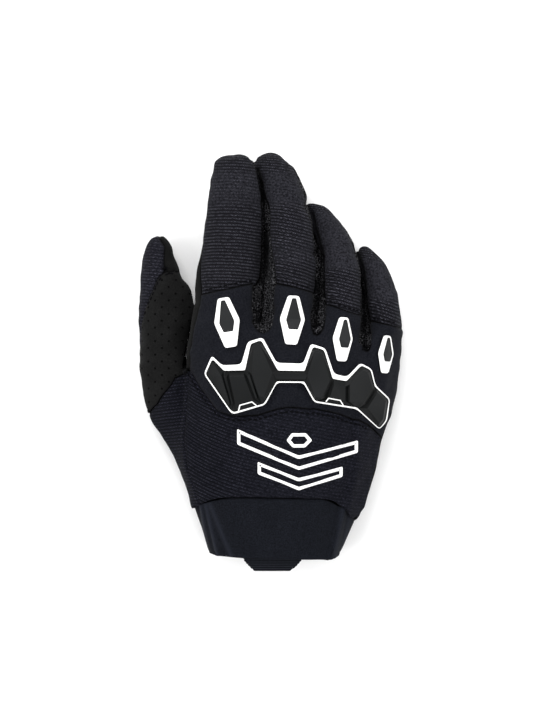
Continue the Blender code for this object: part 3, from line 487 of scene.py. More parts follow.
@dataclass(frozen=True)
class Moulded:
    """Moulded rubber with a fine grain, paler in random patches and with a painted highlight along its sharp
    edges.
    """

    name: str
    colour: Colour
    pale_patch_and_edge_highlight: Colour
    roughness: float = 0.5
    gloss: float = 0.07
    grain: float = 0.00004

    def make(self) -> bpy.types.Material:
        """Makes the material.

        Returns:
            The material.
        """
        graph = Graph(self.name, self.roughness, Specular_IOR_Level=self.gloss)
        patches = graph.noise(0.010, 3.0)
        edge = graph.node("ShaderNodeNewGeometry").outputs["Pointiness"]
        # Painted highlight: sharp edges, found by their pointiness, are paler
        edge_highlight = graph.spread(edge, 0.505, 0.56)
        tone = graph.maths("MAXIMUM", graph.spread(patches, 0.35, 0.8, 0.0, 0.25), edge_highlight)
        graph.bump(graph.noise(0.0007, 3.0), self.grain, 0.6)
        shine = graph.spread(patches, 0.3, 0.7, self.roughness - 0.06, self.roughness + 0.08)
        return graph.finish(graph.blend(tone, self.colour, self.pale_patch_and_edge_highlight), shine)


@dataclass(frozen=True)
class Webbing:
    """Narrow woven webbing with ribs along it, also used for thread."""

    name: str
    light: Colour
    dark: Colour
    pitch: float = 0.0011

    def make(self) -> bpy.types.Material:
        """Makes the material.

        Returns:
            The material.
        """
        graph = Graph(self.name, 0.82, Specular_IOR_Level=0.04)
        x, y, _ = graph.split(graph.place())
        ribs = graph.plus(graph.sine(y, self.pitch), graph.times(graph.sine(x, self.pitch / 1.7), 0.4))
        weave = graph.spread(ribs, -1.4, 1.4)
        fuzz = graph.spread(graph.noise(0.0004), 0.3, 0.7, 0.6, 1.0)
        graph.bump(weave, 0.0003, 0.9)
        return graph.finish(graph.blend(graph.times(weave, fuzz), self.dark, self.light))


@dataclass(frozen=True)
class Panel:
    """One cloth or leather panel of the glove.

    Attributes:
        node: The CAD node that it stands for.
        finish: The material's name.
        slot: The record's material slot; it is not used.
        wall: Its thickness.
        lift: How far it stands proud of the common surface.
        flat: Width, length and area that it was cut to; they are not used.
    """

    node: str
    finish: str
    slot: str
    wall: float
    lift: float
    flat: tuple[float, float, float]


PANELS = (
    Panel("hand_back", "ribbed_hand", "ribbed_cloth", 0.0014, 0.0, (0.12, 0.06, 0.0045)),
    Panel("knuckle_panel", "panel_cloth", "panel_cloth", 0.0015, 0.0004, (0.12, 0.09, 0.0065)),
    Panel("index_back", "ribbed_cloth", "ribbed_cloth", 0.0014, 0.0, (0.04, 0.08, 0.0024)),
    Panel("middle_back", "ribbed_cloth", "ribbed_cloth", 0.0014, 0.0, (0.04, 0.08, 0.0024)),
    Panel("ring_back", "ribbed_cloth", "ribbed_cloth", 0.0014, 0.0, (0.03, 0.07, 0.0017)),
    Panel("little_back", "ribbed_cloth", "ribbed_cloth", 0.0014, 0.0, (0.03, 0.05, 0.0012)),
    Panel("gusset_index_middle", "mesh_cloth", "mesh_cloth", 0.0011, -0.0002, (0.04, 0.17, 0.0034)),
    Panel("gusset_middle_ring", "mesh_cloth", "mesh_cloth", 0.0011, -0.0002, (0.04, 0.15, 0.0030)),
    Panel("gusset_ring_little", "mesh_cloth", "mesh_cloth", 0.0011, -0.0002, (0.04, 0.12, 0.0024)),
    Panel("palm", "suede", "suede", 0.0012, 0.0, (0.13, 0.22, 0.018)),
    Panel("thumb_back", "ribbed_thumb", "ribbed_cloth", 0.0014, 0.0, (0.03, 0.09, 0.0021)),
    Panel("thumb_front", "suede", "suede", 0.0012, 0.0, (0.05, 0.09, 0.0027)),
    Panel("thumb_patch", "perforated_suede", "suede", 0.0014, 0.0006, (0.03, 0.08, 0.0021)),
    Panel("thumb_gusset", "ribbed_hand", "ribbed_cloth", 0.0014, 0.0, (0.05, 0.07, 0.0027)),
)


def only(thing: bpy.types.Object) -> bpy.types.Object:
    """Selects one object alone and makes it active.

    Args:
        thing: The object.

    Returns:
        The same object.
    """
    bpy.ops.object.select_all(action="DESELECT")
    thing.select_set(True)
    bpy.context.view_layer.objects.active = thing
    return thing


def applied(thing: bpy.types.Object, kind: str, **settings: object) -> bpy.types.Object:
    """Adds a modifier and applies it.

    Args:
        thing: The object.
        kind: The modifier's type.
        **settings: Its values.

    Returns:
        The same object.
    """
    only(thing)
    modifier = thing.modifiers.new(kind.lower(), kind)
    for key, value in settings.items():
        setattr(modifier, key, value)
    bpy.ops.object.modifier_apply(modifier=modifier.name)
    return thing


def bevelled(thing: bpy.types.Object, width: float, segments: int, sharp: float) -> bpy.types.Object:
    """Rounds the edges of an object that turn by more than some degrees."""
    return applied(
        thing, "BEVEL", width=width, segments=segments, limit_method="ANGLE", angle_limit=math.radians(sharp)
    )


def smooth_but_for(thing: bpy.types.Object, sharp: float) -> None:
    """Shades an object smooth but for the edges that turn by more than some degrees."""
    only(thing)
    bpy.ops.object.shade_smooth_by_angle(angle=math.radians(sharp))


def shown(name: str, mesh: bpy.types.Mesh) -> bpy.types.Object:
    """Makes an object of a mesh.

    Args:
        name: Its name.
        mesh: The mesh.

    Returns:
        The object, linked to the scene.
    """
    made = bpy.data.objects.new(name, mesh)
    bpy.context.scene.collection.objects.link(made)
    return made


def rows_of(mesh: bpy.types.Mesh, what: str) -> np.ndarray:
    """Reads a vector from each of a mesh's points.

    Args:
        mesh: The mesh.
        what: The vector's name.

    Returns:
        Rows of three.
    """
    found = np.empty(len(mesh.vertices) * 3)
    mesh.vertices.foreach_get(what, found)
    return found.reshape(-1, 3)


def coordinates(mesh: bpy.types.Mesh) -> np.ndarray:
    """A mesh's points as rows of three."""
    return rows_of(mesh, "co")


def normals_of(mesh: bpy.types.Mesh) -> np.ndarray:
    """A mesh's point normals as rows of three."""
    return rows_of(mesh, "normal")


def mapped(mesh: bpy.types.Mesh, name: str, values: np.ndarray) -> None:
    """Gives a mesh a UV map.

    Args:
        mesh: The mesh.
        name: The map's name.
        values: Two values for each of the mesh's points.
    """
    corners = np.empty(len(mesh.loops), int)
    mesh.loops.foreach_get("vertex_index", corners)
    mesh.uv_layers.new(name=name).data.foreach_set("uv", values[corners].ravel())


def merged_copy(node: str) -> bmesh.types.BMesh:
    """Copies a CAD node's mesh.

    Args:
        node: The node's name.

    Returns:
        A new mesh, with the loose triangles joined up.
    """
    shape = bmesh.new()
    shape.from_mesh(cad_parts[node].data)
    bmesh.ops.remove_doubles(shape, verts=shape.verts, dist=1e-6)
    shape.normal_update()
    return shape


def tree_of(points: Sequence[Sequence[float]]) -> KDTree:
    """Makes a tree that finds the nearest of some points.

    Args:
        points: The points.

    Returns:
        The tree, which gives their numbers.
    """
    tree = KDTree(len(points))
    for number, point in enumerate(points):
        tree.insert(point, number)
    tree.balance()
    return tree


def links_of(pairs: Iterable[tuple[int, int]]) -> dict[int, list[int]]:
    """Lists the neighbours of each point that some edges join.

    Args:
        pairs: The edges.

    Returns:
        The neighbours, by point.
    """
    beside: dict = {}
    for a, b in pairs:
        beside.setdefault(a, []).append(b)
        beside.setdefault(b, []).append(a)
    return beside


def sides_of(mesh: bpy.types.Mesh) -> dict[tuple[int, int], list[int]]:
    """Lists the faces beside each edge of a mesh.

    Args:
        mesh: The mesh.

    Returns:
        The faces' numbers, by edge.
    """
    sides: dict = {}
    for polygon in mesh.polygons:
        for key in polygon.edge_keys:
            sides.setdefault(key, []).append(polygon.index)
    return sides


def edges_of(mesh: bpy.types.Mesh) -> np.ndarray:
    """A mesh's edges as rows of two point numbers."""
    return np.array([edge.vertices[:] for edge in mesh.edges])


class Ties:
    """Pairs of neighbours among numbered points or faces."""

    def __init__(self, pairs: np.ndarray, size: int) -> None:
        """Keeps the pairs.

        Args:
            pairs: Rows of two numbers.
            size: How many points or faces there are.
        """
        self.one, self.two = pairs.T
        self.size = size
        self.count = np.maximum(np.bincount(pairs.ravel(), minlength=size), 1)

    def mean(self, values: np.ndarray) -> np.ndarray:
        """Takes each one's mean over its neighbours.

        Args:
            values: A value or a row of values for each.

        Returns:
            The means, in the same layout.
        """
        if values.ndim > 1:
            return np.column_stack([self.mean(column) for column in values.T])
        total = np.bincount(self.one, values[self.two], self.size)
        total += np.bincount(self.two, values[self.one], self.size)
        return total / self.count


def flat_distance(points: np.ndarray, places: Iterable[Sequence[float]]) -> np.ndarray:
    """How far each point is, as seen from above, from the nearest of some places in the photograph."""
    gaps = points[:, None, :2] - np.array(over_glove(places))[None]
    return np.sqrt((gaps ** 2).sum(2)).min(1)


def bell(gaps: np.ndarray, width: float) -> np.ndarray:
    """A soft share from 1 on a line to 0 away from it."""
    return np.exp(-((gaps / width) ** 2))


def ramp(values: np.ndarray, start: float, length: float) -> np.ndarray:
    """A share that goes from 0 at a start to 1 a length further on."""
    return np.clip((values - start) / length, 0.0, 1.0)


BACKS = ("index_back", "middle_back", "ring_back", "little_back", "knuckle_panel")
THUMB = ("thumb_patch", "thumb_front", "thumb_back")
NUMBERS = {panel.node: number for number, panel in enumerate(PANELS)}

# Where the mesh between two fingers shows from above, in the photograph
GUSSET_OUTLINES = {
    "gusset_index_middle": (
        (264, 200), (266.5, 203), (273, 227), (275.7, 260), (275.7, 283), (273.5, 290), (273.2, 322),
        (270.5, 330), (264.5, 333.5), (258.5, 332), (254, 325), (252.8, 304), (253.4, 289.5),
        (257.5, 285.5), (263.2, 276), (263.5, 240),
    ),
    "gusset_middle_ring": (
        (318.5, 258), (322.5, 258), (323.4, 300), (323.6, 322), (321.4, 330), (316.8, 333.5), (312.5, 331.5),
        (310.5, 325), (312, 312), (315.5, 300), (318, 285),
    ),
    "gusset_ring_little": (
        (363.5, 316), (366.5, 316), (368.8, 335), (369, 346), (366, 351.5), (361.5, 350.5), (359.8, 345),
        (360.5, 335),
    ),
}

# The lines where two fingers' sides meet, grooved and darkened with painted shade
SLITS = (
    (
        (258, 172), (263.5, 200), (265.6, 235), (266, 268), (264.5, 285), (262.5, 297), (260.5, 307),
        (258.4, 322),
    ),
    ((312, 214), (316, 236), (321, 257), (320, 270), (319, 285), (316.7, 298), (314.6, 312), (314, 325)),
    ((356, 248), (361.4, 271), (363.2, 300), (362.6, 321), (362.8, 345)),
)

# The hem's name among the seams, and the seam that is a soft fold
HEM = ("hem",)
SOFT_SEAM = ("hand_back", "thumb_gusset")

# The thumb's patch, the suede at the thumb's tip, and the corner left of which its ribbed back starts
PATCH_OUTLINE = (
    (160, 279), (166, 274.5), (172, 273), (181, 273.2), (186, 276), (204, 300), (204, 440), (120, 440),
    (143, 345), (142, 330), (148, 305),
)
TIP_OUTLINE = ((156, 222), (160, 237), (166, 247), (167.5, 271), (160, 279), (210, 279), (210, 222))
BACK_CORNER = (166, 345)

# The hem over the cuff
HEM_LINE = (
    (194, 507), (206, 501.6), (220, 497), (260, 496.6), (300, 497.6), (330, 499), (338, 503), (346, 510),
    (350, 517), (353.6, 522), (358.6, 518), (362, 514),
)


class Part(Enum):
    """Which part of the glove a nudge moves."""

    HAND = "hand"
    THUMB = "thumb"


# Where the surface is eased to the photograph's outline: a place, its shift and its spread, in pixels
NUDGES = (
    (Part.HAND, 231.5, 153, 0.0, 3.2, 9),
    (Part.HAND, 215.5, 160, -3.0, 0.0, 6),
    (Part.HAND, 311, 210, -3.0, -4.0, 7),
    (Part.THUMB, 163, 237, -2.0, 1.0, 8),
    (Part.THUMB, 180, 260, -5.6, 0.0, 11),
    (Part.THUMB, 188, 278, -7.5, 0.0, 12),
    (Part.THUMB, 192, 312, 3.5, 0.0, 14),
)

# Where the surface is evened out: a place and how far that reaches, in pixels
SOFT_SPOTS = ((359.5, 515, 9), (180, 262, 11), (186, 284, 8))

# Where the ribs fade: a panel, the photograph's rows between which they do, and how far they still show
SMOOTH_ZONES = (
    ("index_back", 178, 206, 0.45),
    ("middle_back", 178, 205, 0.25),
    ("middle_back", 250, 262, 0.6),
    ("ring_back", 216, 268, 0.08),
    ("little_back", 262, 298, 0.12),
)


@dataclass
class Skin:
    """The glove's whole outer surface: one smooth mesh from the CAD panels' outer sheets.

    Attributes:
        rays: How many directions are tried to tell an outer face from an inner one.
        clear: How far off the face they start.
        free: How many of them have to be free.
        opening: How far a face may look back before it counts as the opening's rim.
        weld: How close two panels' edge points are joined.
        levels: Subdivisions.
        groove: Depth of a seam.
        groove_width: Its half width.
        puff: How far the cloth stands out away from seams.
        puff_width: How far from a seam it does.
        fold: Depth of the fold between the thumb and the hand's back.
        fold_width: Its half width.
        slit_depth: Depth of the dark line where two fingers meet.
        slit_width: Its half width.
        slit: The widest slit between two fingers that is filled out.
        overlap: How far the hem's side by the thumb comes over the cuff.
        resting: Up to what height the moves fade out towards the floor.
        seen: How far up a gusset's face has to look to be sorted from above.
        thumb_seen: The same for the thumb.
        nearest: How far away a trimmed face finds its new panel.
        hem_reach: How far from the hem the cloth moves with it.
        hem_shift: The most that the hem moves.
        close: How far off a face the search for the opposite side starts.
        upright: How far up or down a point may face for that search.
        press: How far the two sides go past the middle between them.
        shade: How near a slit's bottom counts to a seam for the painted shade, and how that grows beside it.
    """

    rays: int = 24
    clear: float = 0.0006
    free: int = 2
    opening: float = -0.75
    weld: float = 0.0005
    levels: int = 3
    groove: float = 0.0006
    groove_width: float = 0.0010
    puff: float = 0.00035
    puff_width: float = 0.004
    fold: float = 0.0007
    fold_width: float = 0.0022
    slit_depth: float = 0.0010
    slit_width: float = 0.0011
    slit: float = 0.0045
    overlap: float = 0.0012
    resting: float = 0.006
    seen: float = 0.30
    thumb_seen: float = 0.10
    nearest: float = 0.006
    hem_reach: float = 0.008
    hem_shift: float = 0.003
    close: float = 0.0003
    upright: float = 0.8
    press: float = 0.00002
    shade: tuple[float, float] = (0.0001, 0.38)
    mesh: bpy.types.Mesh = None
    panel_of: np.ndarray = None
    tree: BVHTree = None
    away: np.ndarray = None
    seams: dict = field(default_factory=dict)

    def directions(self) -> list[Vector]:
        """Spreads directions evenly over a ball.

        Returns:
            The directions.
        """
        ways = []
        for i in range(self.rays):
            z = 1 - 2 * (i + 0.5) / self.rays
            around = i * math.pi * (3 - math.sqrt(5))
            flat = math.sqrt(1 - z * z)
            ways.append(Vector((flat * math.cos(around), flat * math.sin(around), z)))
        return ways

    def outer_sheets(self) -> bmesh.types.BMesh:
        """Joins the outer sheets of all panels.

        Returns:
            A mesh of few-sided faces, each with its panel's number as material index.
        """
        solids = [merged_copy(panel.node) for panel in PANELS] + [merged_copy("cuff")]
        points, faces = [], []
        for solid in solids:
            start = len(points)
            points += [v.co.copy() for v in solid.verts]
            faces += [tuple(start + v.index for v in f.verts) for f in solid.faces]
        tree = BVHTree.FromPolygons(points, faces)
        ways = self.directions()
        joined = bmesh.new()
        for number, solid in enumerate(solids[:-1]):
            outer = set()
            for face in solid.faces:
                start = face.calc_center_median() + face.normal * self.clear
                free = sum(tree.ray_cast(start, way)[0] is None for way in ways)
                if free >= self.free and face.normal.y > self.opening:
                    outer.update(face.verts)
            copies = {v: joined.verts.new(v.co) for v in outer}
            for face in solid.faces:
                if all(v in copies for v in face.verts):
                    made = joined.faces.new([copies[v] for v in face.verts])
                    made.material_index = number
        for solid in solids:
            solid.free()
        loose = [v for v in joined.verts if not v.link_faces]
        bmesh.ops.delete(joined, geom=loose, context="VERTS")
        rim = {v for e in joined.edges if len(e.link_faces) == 1 for v in e.verts}
        bmesh.ops.remove_doubles(joined, verts=list(rim), dist=self.weld)
        self.patch(joined)
        bmesh.ops.join_triangles(
            joined, faces=list(joined.faces), cmp_materials=True,
            angle_face_threshold=math.pi, angle_shape_threshold=math.pi,
        )
        return joined

    @staticmethod
    def patch(joined: bmesh.types.BMesh, most: int = 8) -> None:
        """Fills small holes that are left in the sheets.

        Args:
            joined: The sheets.
            most: The most sides that a filled hole has.
        """
        rim = [edge for edge in joined.edges if edge.is_boundary]
        filled = bmesh.ops.holes_fill(joined, edges=rim, sides=most)["faces"]
        for face in filled:
            beside = [other for edge in face.edges for other in edge.link_faces if other is not face]
            face.material_index = beside[0].material_index
        bmesh.ops.recalc_face_normals(joined, faces=joined.faces)
        LOG.info("holes filled: %d, rim edges: %d", len(filled), sum(e.is_boundary for e in joined.edges))

    def smoothed(self, shape: bmesh.types.BMesh) -> bpy.types.Object:
        """Subdivides the joined sheets so that the smooth surface keeps the CAD's size.

        Args:
            shape: The sheets.

        Returns:
            The smooth surface.
        """
        cage = bpy.data.meshes.new("skin_cage")
        shape.to_mesh(cage)
        shape.free()
        wanted = coordinates(cage)
        aim = wanted.copy()
        for _ in range(2):
            trial = shown("skin_trial", cage.copy())
            trial.data.vertices.foreach_set("co", aim.ravel())
            applied(trial, "SUBSURF", levels=1, render_levels=1)
            aim += 0.8 * (wanted - coordinates(trial.data)[:len(aim)])
            bpy.data.objects.remove(trial, do_unlink=True)
        aim[:, 2] = np.where(wanted[:, 2] < 1e-5, 0.0, aim[:, 2])
        skin = shown("skin", cage)
        cage.vertices.foreach_set("co", aim.ravel())
        return applied(skin, "SUBSURF", levels=self.levels, render_levels=self.levels)

    @staticmethod
    def nudge(mesh: bpy.types.Mesh) -> None:
        """Eases the surface to the photograph's outline.

        Args:
            mesh: The surface.
        """
        points = coordinates(mesh)
        moved = points.copy()
        thumb = [NUMBERS[node] for node in THUMB]
        on_thumb = np.zeros(len(points))
        for polygon in mesh.polygons:
            if polygon.material_index in thumb:
                on_thumb[polygon.vertices] = 1.0
        ties = Ties(edges_of(mesh), len(points))
        for _ in range(12):
            on_thumb = 0.5 * on_thumb + 0.5 * ties.mean(on_thumb)
        for part, x, y, right, down, spread in NUDGES:
            gaps = points[:, :2] - np.array(at_pixel(x, y))
            share = np.exp(-(gaps ** 2).sum(1) / (spread * PIXEL) ** 2)
            share *= on_thumb if part is Part.THUMB else 1 - on_thumb
            moved[:, 0] += share * right * PIXEL
            moved[:, 1] -= share * down * PIXEL
        mesh.vertices.foreach_set("co", moved.ravel())
        mesh.update()

    @staticmethod
    def softened(mesh: bpy.types.Mesh, points: np.ndarray, rounds: int = 24) -> np.ndarray:
        """Evens the surface out near the soft spots.

        Args:
            mesh: The surface.
            points: Where its points are by now.
            rounds: How often each point moves towards its neighbours.

        Returns:
            The moved points.
        """
        share = np.zeros(len(points))
        for x, y, reach in SOFT_SPOTS:
            gaps = np.linalg.norm(points[:, :2] - np.array(at_pixel(x, y)), axis=1)
            share = np.maximum(share, np.clip(1.5 - 1.5 * gaps / (reach * PIXEL), 0.0, 1.0))
        edges = edges_of(mesh)
        ties = Ties(edges[(share[edges] > 0).any(1)], len(points))
        moved = points.copy()
        for _ in range(rounds):
            moved += (share * 0.5)[:, None] * (ties.mean(moved) - moved)
        return moved

    @staticmethod
    def seam_distance(points: np.ndarray, edges: Iterable[tuple[int, int]]) -> np.ndarray:
        """How far each point is from the nearest of some edges."""
        near = tree_of([
            points[a] + (points[b] - points[a]) * share for a, b in edges for share in (0.0, 0.25, 0.5, 0.75)
        ])
        return np.array([near.find(point)[2] for point in points])

    def trimmed(self, mesh: bpy.types.Mesh) -> np.ndarray:
        """Keeps the gussets and the thumb's patch to where they show from above.

        Args:
            mesh: The surface.

        Returns:
            Each face's panel.
        """
        before = np.empty(len(mesh.polygons), int)
        mesh.polygons.foreach_get("material_index", before)
        panel = before.copy()
        backs = np.flatnonzero(np.isin(before, [NUMBERS[node] for node in BACKS]))
        near = tree_of([mesh.polygons[i].center for i in backs])
        for gusset, outline in GUSSET_OUTLINES.items():
            corners = over_glove(outline)
            for i in np.flatnonzero(np.isin(before, (NUMBERS[gusset], NUMBERS["knuckle_panel"]))):
                face = mesh.polygons[i]
                if face.normal.z <= self.seen:
                    continue
                inside = within(face.center[:2], corners)
                if inside and before[i] != NUMBERS[gusset]:
                    panel[i] = NUMBERS[gusset]
                elif not inside and before[i] == NUMBERS[gusset]:
                    _, other, gap = near.find(face.center)
                    if gap < self.nearest:
                        panel[i] = before[backs[other]]
        patch, front, back = (NUMBERS[node] for node in THUMB)
        patch_line, tip_line = over_glove(PATCH_OUTLINE), over_glove(TIP_OUTLINE)
        side, low = at_pixel(*BACK_CORNER)
        for i in np.flatnonzero(np.isin(before, (patch, front, back))):
            face = mesh.polygons[i]
            place = face.center[:2]
            if face.normal.z > self.thumb_seen:
                if within(place, patch_line):
                    panel[i] = patch
                elif within(place, tip_line):
                    panel[i] = front
                elif place[0] < side and place[1] > low:
                    panel[i] = back
        return self.evened(mesh, panel)

    @staticmethod
    def evened(mesh: bpy.types.Mesh, panel: np.ndarray, rounds: int = 10) -> np.ndarray:
        """Smooths the lines between panels.

        Args:
            mesh: The surface.
            panel: Each face's panel.
            rounds: How often each face takes on half of its neighbours' shares.

        Returns:
            Each face's panel.
        """
        beside = np.array([sides for sides in sides_of(mesh).values() if len(sides) == 2])
        ties = Ties(beside, len(panel))
        share = np.eye(len(PANELS))[panel]
        for _ in range(rounds):
            share = 0.5 * share + 0.5 * ties.mean(share)
        return share.argmax(axis=1)

    def hemmed(self, points: np.ndarray, hem: Sequence[tuple[int, int]]) -> np.ndarray:
        """Evens out the line of the hem and brings it a little over the cuff.

        Args:
            points: The surface's points.
            hem: The hem's edges.

        Returns:
            The moved points.
        """
        beside = links_of(hem)
        line = np.array([v for v, others in beside.items() if len(others) == 2])
        ends = np.array([beside[v] for v in line])
        wanted = np.array(over_glove(HEM_LINE, RAISED))
        goal = np.interp(points[line, 0], wanted[:, 0], wanted[:, 1])
        low = np.where(points[line, 0] < 0, 0.012, 0.004)
        side, _ = at_pixel(345, 0)
        upper = np.maximum(ramp(points[line, 2], low, 0.008), ramp(points[line, 0], side, 0.004))
        shift = np.clip(goal - points[line, 1], -self.hem_shift, self.hem_shift) * upper
        order = {v: i for i, v in enumerate(line)}
        next_to = np.array([[order.get(one, i), order.get(two, i)] for i, (one, two) in enumerate(ends)])
        for _ in range(30):
            shift = 0.5 * shift + 0.25 * shift[next_to].sum(1)
        moved = points.copy()
        near = tree_of(points[line])
        for v, point in enumerate(points):
            _, i, gap = near.find(point)
            if gap < self.hem_reach:
                moved[v, 1] += shift[i] * (1 - gap / self.hem_reach)
        for _ in range(40):
            moved[line] = 0.5 * moved[line] + 0.25 * moved[ends[:, 0]] + 0.25 * moved[ends[:, 1]]
        close = 1 - ramp(self.seam_distance(points, hem), 0.0, 0.004)
        lower = (1 - ramp(points[:, 2], 0.022, 0.008)) * (points[:, 0] < 0)
        moved[:, 1] -= self.overlap * close * lower
        return moved

    def closed(
        self, mesh: bpy.types.Mesh, panel: np.ndarray, points: np.ndarray, out: np.ndarray, away: np.ndarray
    ) -> tuple[np.ndarray, np.ndarray]:
        """Fills the fingers out until their sides meet, so that no slit is open between them.

        Args:
            mesh: The surface.
            panel: Each face's panel.
            points: The surface's points.
            out: Their normals.
            away: Their distances from the seams.

        Returns:
            The moved points, and how near each counts to a seam for the painted shade of a slit, as a
            distance.
        """
        tree = self.tree_over(mesh, points)
        gussets = [NUMBERS[node] for node in GUSSET_OUTLINES]
        inside = {v for i in np.flatnonzero(np.isin(panel, gussets)) for v in mesh.polygons[i].vertices}
        moves = np.zeros(len(points))
        steep = np.ones(len(points))
        flat = out * np.array([1.0, 1.0, 0.0])
        flat /= np.maximum(np.linalg.norm(flat, axis=1), 1e-9)[:, None]
        for v in inside:
            if abs(out[v, 2]) < self.upright:
                way = Vector(flat[v])
                _, _, face, gap = tree.ray_cast(Vector(points[v]) + way * self.close, way, self.slit)
                if face is not None and panel[face] in gussets:
                    moves[v] = (gap + self.close) / 2 + self.press
                    # Painted shade: a point in a slit that faces sideways counts as nearer a seam, so it is
                    # painted darker
                    steep[v] = 0.0002 + 0.0010 * max(out[v, 2], 0.0)
        ties = Ties(edges_of(mesh), len(points))
        for _ in range(6):
            moves = np.where(moves > 0, moves, 0.5 * ties.mean(moves))
        return points + flat * (moves * ramp(away, 0.0, 0.0012))[:, None], steep

    @staticmethod
    def tree_over(mesh: bpy.types.Mesh, points: np.ndarray) -> BVHTree:
        """The surface as a tree that rays are cast against."""
        return BVHTree.FromPolygons([Vector(p) for p in points], [tuple(p.vertices) for p in mesh.polygons])

    @staticmethod
    def sorted_seams(mesh: bpy.types.Mesh, panel: np.ndarray) -> dict[tuple[str, ...], list[tuple[int, int]]]:
        """Sorts the edges between panels.

        Args:
            mesh: The surface.
            panel: Each face's panel.

        Returns:
            The edges by the names of the two panels, and the hem's by its own name.
        """
        seams: dict = {HEM: []}
        for key, sides in sides_of(mesh).items():
            if len(sides) == 2 and panel[sides[0]] != panel[sides[1]]:
                names = tuple(sorted(PANELS[panel[i]].node for i in sides))
                seams.setdefault(names, []).append(key)
            elif len(sides) == 1:
                seams[HEM].append(key)
        return seams

    def build(self) -> "Skin":
        """Makes the surface, its folds and its seams.

        Returns:
            The skin itself.
        """
        skin = self.smoothed(self.outer_sheets())
        mesh = skin.data
        self.nudge(mesh)
        panel = self.trimmed(mesh)
        seams = self.sorted_seams(mesh, panel)
        points, out = coordinates(mesh), normals_of(mesh)
        meet = flat_distance(points, [p for slit in SLITS for p in along_line(slit, 1.0)])
        sewn = [key for names, keys in seams.items() if names not in (HEM, SOFT_SEAM) for key in keys]
        away = self.seam_distance(points, sewn)
        soft = self.seam_distance(points, seams[SOFT_SEAM])
        depth = self.puff * (1 - bell(away, self.puff_width)) - self.groove * bell(away, self.groove_width)
        depth -= self.fold * bell(soft, self.fold_width)
        depth -= self.slit_depth * bell(meet, self.slit_width)
        depth += wrinkles(points)
        points = self.softened(mesh, self.hemmed(points, seams[HEM]))
        points += out * (depth * ramp(points[:, 2], 0.0, self.resting))[:, None]
        points[:, 2] = np.maximum(points[:, 2], 0.0)
        points, steep = self.closed(mesh, panel, points, out, away)
        mesh.vertices.foreach_set("co", points.ravel())
        mesh.update()
        self.mesh, self.panel_of, self.seams = mesh, panel, seams
        # Painted shade: the distances to the seams, brought nearer in the slits, darken the cloth's colour
        # there
        self.away = np.minimum(np.minimum(away, steep), self.shade[0] + self.shade[1] * meet)
        self.tree = self.tree_over(mesh, points)
        bpy.data.objects.remove(skin, do_unlink=True)
        LOG.info("skin: %d points, %d faces, hem edges %d", len(points), len(panel), len(seams[HEM]))
        return self

    def over(self, x: float, y: float) -> tuple[Vector, Vector]:
        """Looks straight down on the skin.

        Args:
            x: Where, in metres.
            y: Where, in metres.

        Returns:
            The highest point over that place, and the direction out of the skin there.
        """
        hit, out, _, _ = self.tree.ray_cast(Vector((x, y, 1.0)), Vector((0.0, 0.0, -1.0)))
        if hit is None:
            hit, out, _, _ = self.tree.find_nearest(Vector((x, y, 0.02)))
        return hit, out


@dataclass(frozen=True)
class Crease:
    """A soft fold in the cloth, along a line over the floor.

    Attributes:
        line: Places in the photograph that it passes through.
        depth: How deep it is; below zero it stands out.
        width: Its half width.
    """

    line: tuple[Flat, ...]
    depth: float
    width: float


CREASES = (
    Crease(((196, 303), (212, 312), (236, 316)), 0.0003, 0.0016),
    Crease(((216, 222), (236, 226), (262, 221)), 0.0004, 0.0020),
    Crease(((212, 238), (232, 241), (258, 238)), 0.0003, 0.0016),
    Crease(((262, 206), (285, 204), (302, 208)), 0.0004, 0.0020),
    Crease(((277, 246), (298, 244), (316, 249)), -0.0005, 0.0020),
    Crease(((276, 253), (298, 251.5), (320, 258)), 0.0008, 0.0011),
    Crease(((316, 252), (334, 250), (350, 256)), 0.0004, 0.0018),
    Crease(((360, 285), (376, 283), (392, 290)), 0.0003, 0.0015),
    Crease(((186, 385), (192, 420), (205, 455)), 0.0004, 0.0028),
    Crease(((196, 470), (225, 480), (262, 484)), 0.0003, 0.0030),
    Crease(((330, 440), (350, 452), (372, 455)), 0.0003, 0.0030),
    Crease(((146, 330), (156, 334), (170, 330)), 0.0003, 0.0020),
    Crease(((150, 372), (160, 378), (172, 372)), 0.0003, 0.0020),
    Crease(((142, 300), (148, 303), (154, 300)), 0.0004, 0.0016),
)


# The cloth's own soft unevenness: the waves' size, height and turn
UNEVEN = ((0.021, 0.00022, 0.4), (0.013, 0.00014, 2.1), (0.0081, 0.00008, 1.2))


def along_line(line: Sequence[Flat], step: float) -> list[Vector]:
    """Spaces points evenly on a smooth line.

    Args:
        line: The places that it passes through.
        step: The spacing.

    Returns:
        The points.
    """
    places = [Vector(place) for place in line]
    found = []
    for i in range(len(places) - 1):
        before, here, after = places[max(i - 1, 0)], places[i], places[i + 1]
        beyond = places[min(i + 2, len(places) - 1)]
        count = max(1, math.ceil((after - here).length / step))
        for k in range(count):
            t = k / count
            found.append(0.5 * (
                2 * here + (after - before) * t
                + (2 * before - 5 * here + 4 * after - beyond) * t * t
                + (3 * here - before - 3 * after + beyond) * t ** 3
            ))
    return found + [places[-1]]


def wrinkles(points: np.ndarray) -> np.ndarray:
    """Works out how far the creases and the cloth's own unevenness move each point out.

    Args:
        points: The surface's points.

    Returns:
        The moves.
    """
    moved = np.zeros(len(points))
    upper = ramp(points[:, 2], 0.008, 0.010)
    for crease in CREASES:
        near = flat_distance(points, along_line(crease.line, 2.0))
        moved -= crease.depth * bell(near, crease.width) * upper
    x, y, z = points.T
    for size, height, turn in UNEVEN:
        phase = math.tau / size
        across = phase * (x * math.cos(turn) + y * math.sin(turn)) + 3 * np.sin(70 * y)
        along = phase * (y * math.cos(turn) - x * math.sin(turn) + 0.6 * z) + 2 * np.sin(90 * x)
        moved += height * np.sin(across) * np.sin(along)
    return moved


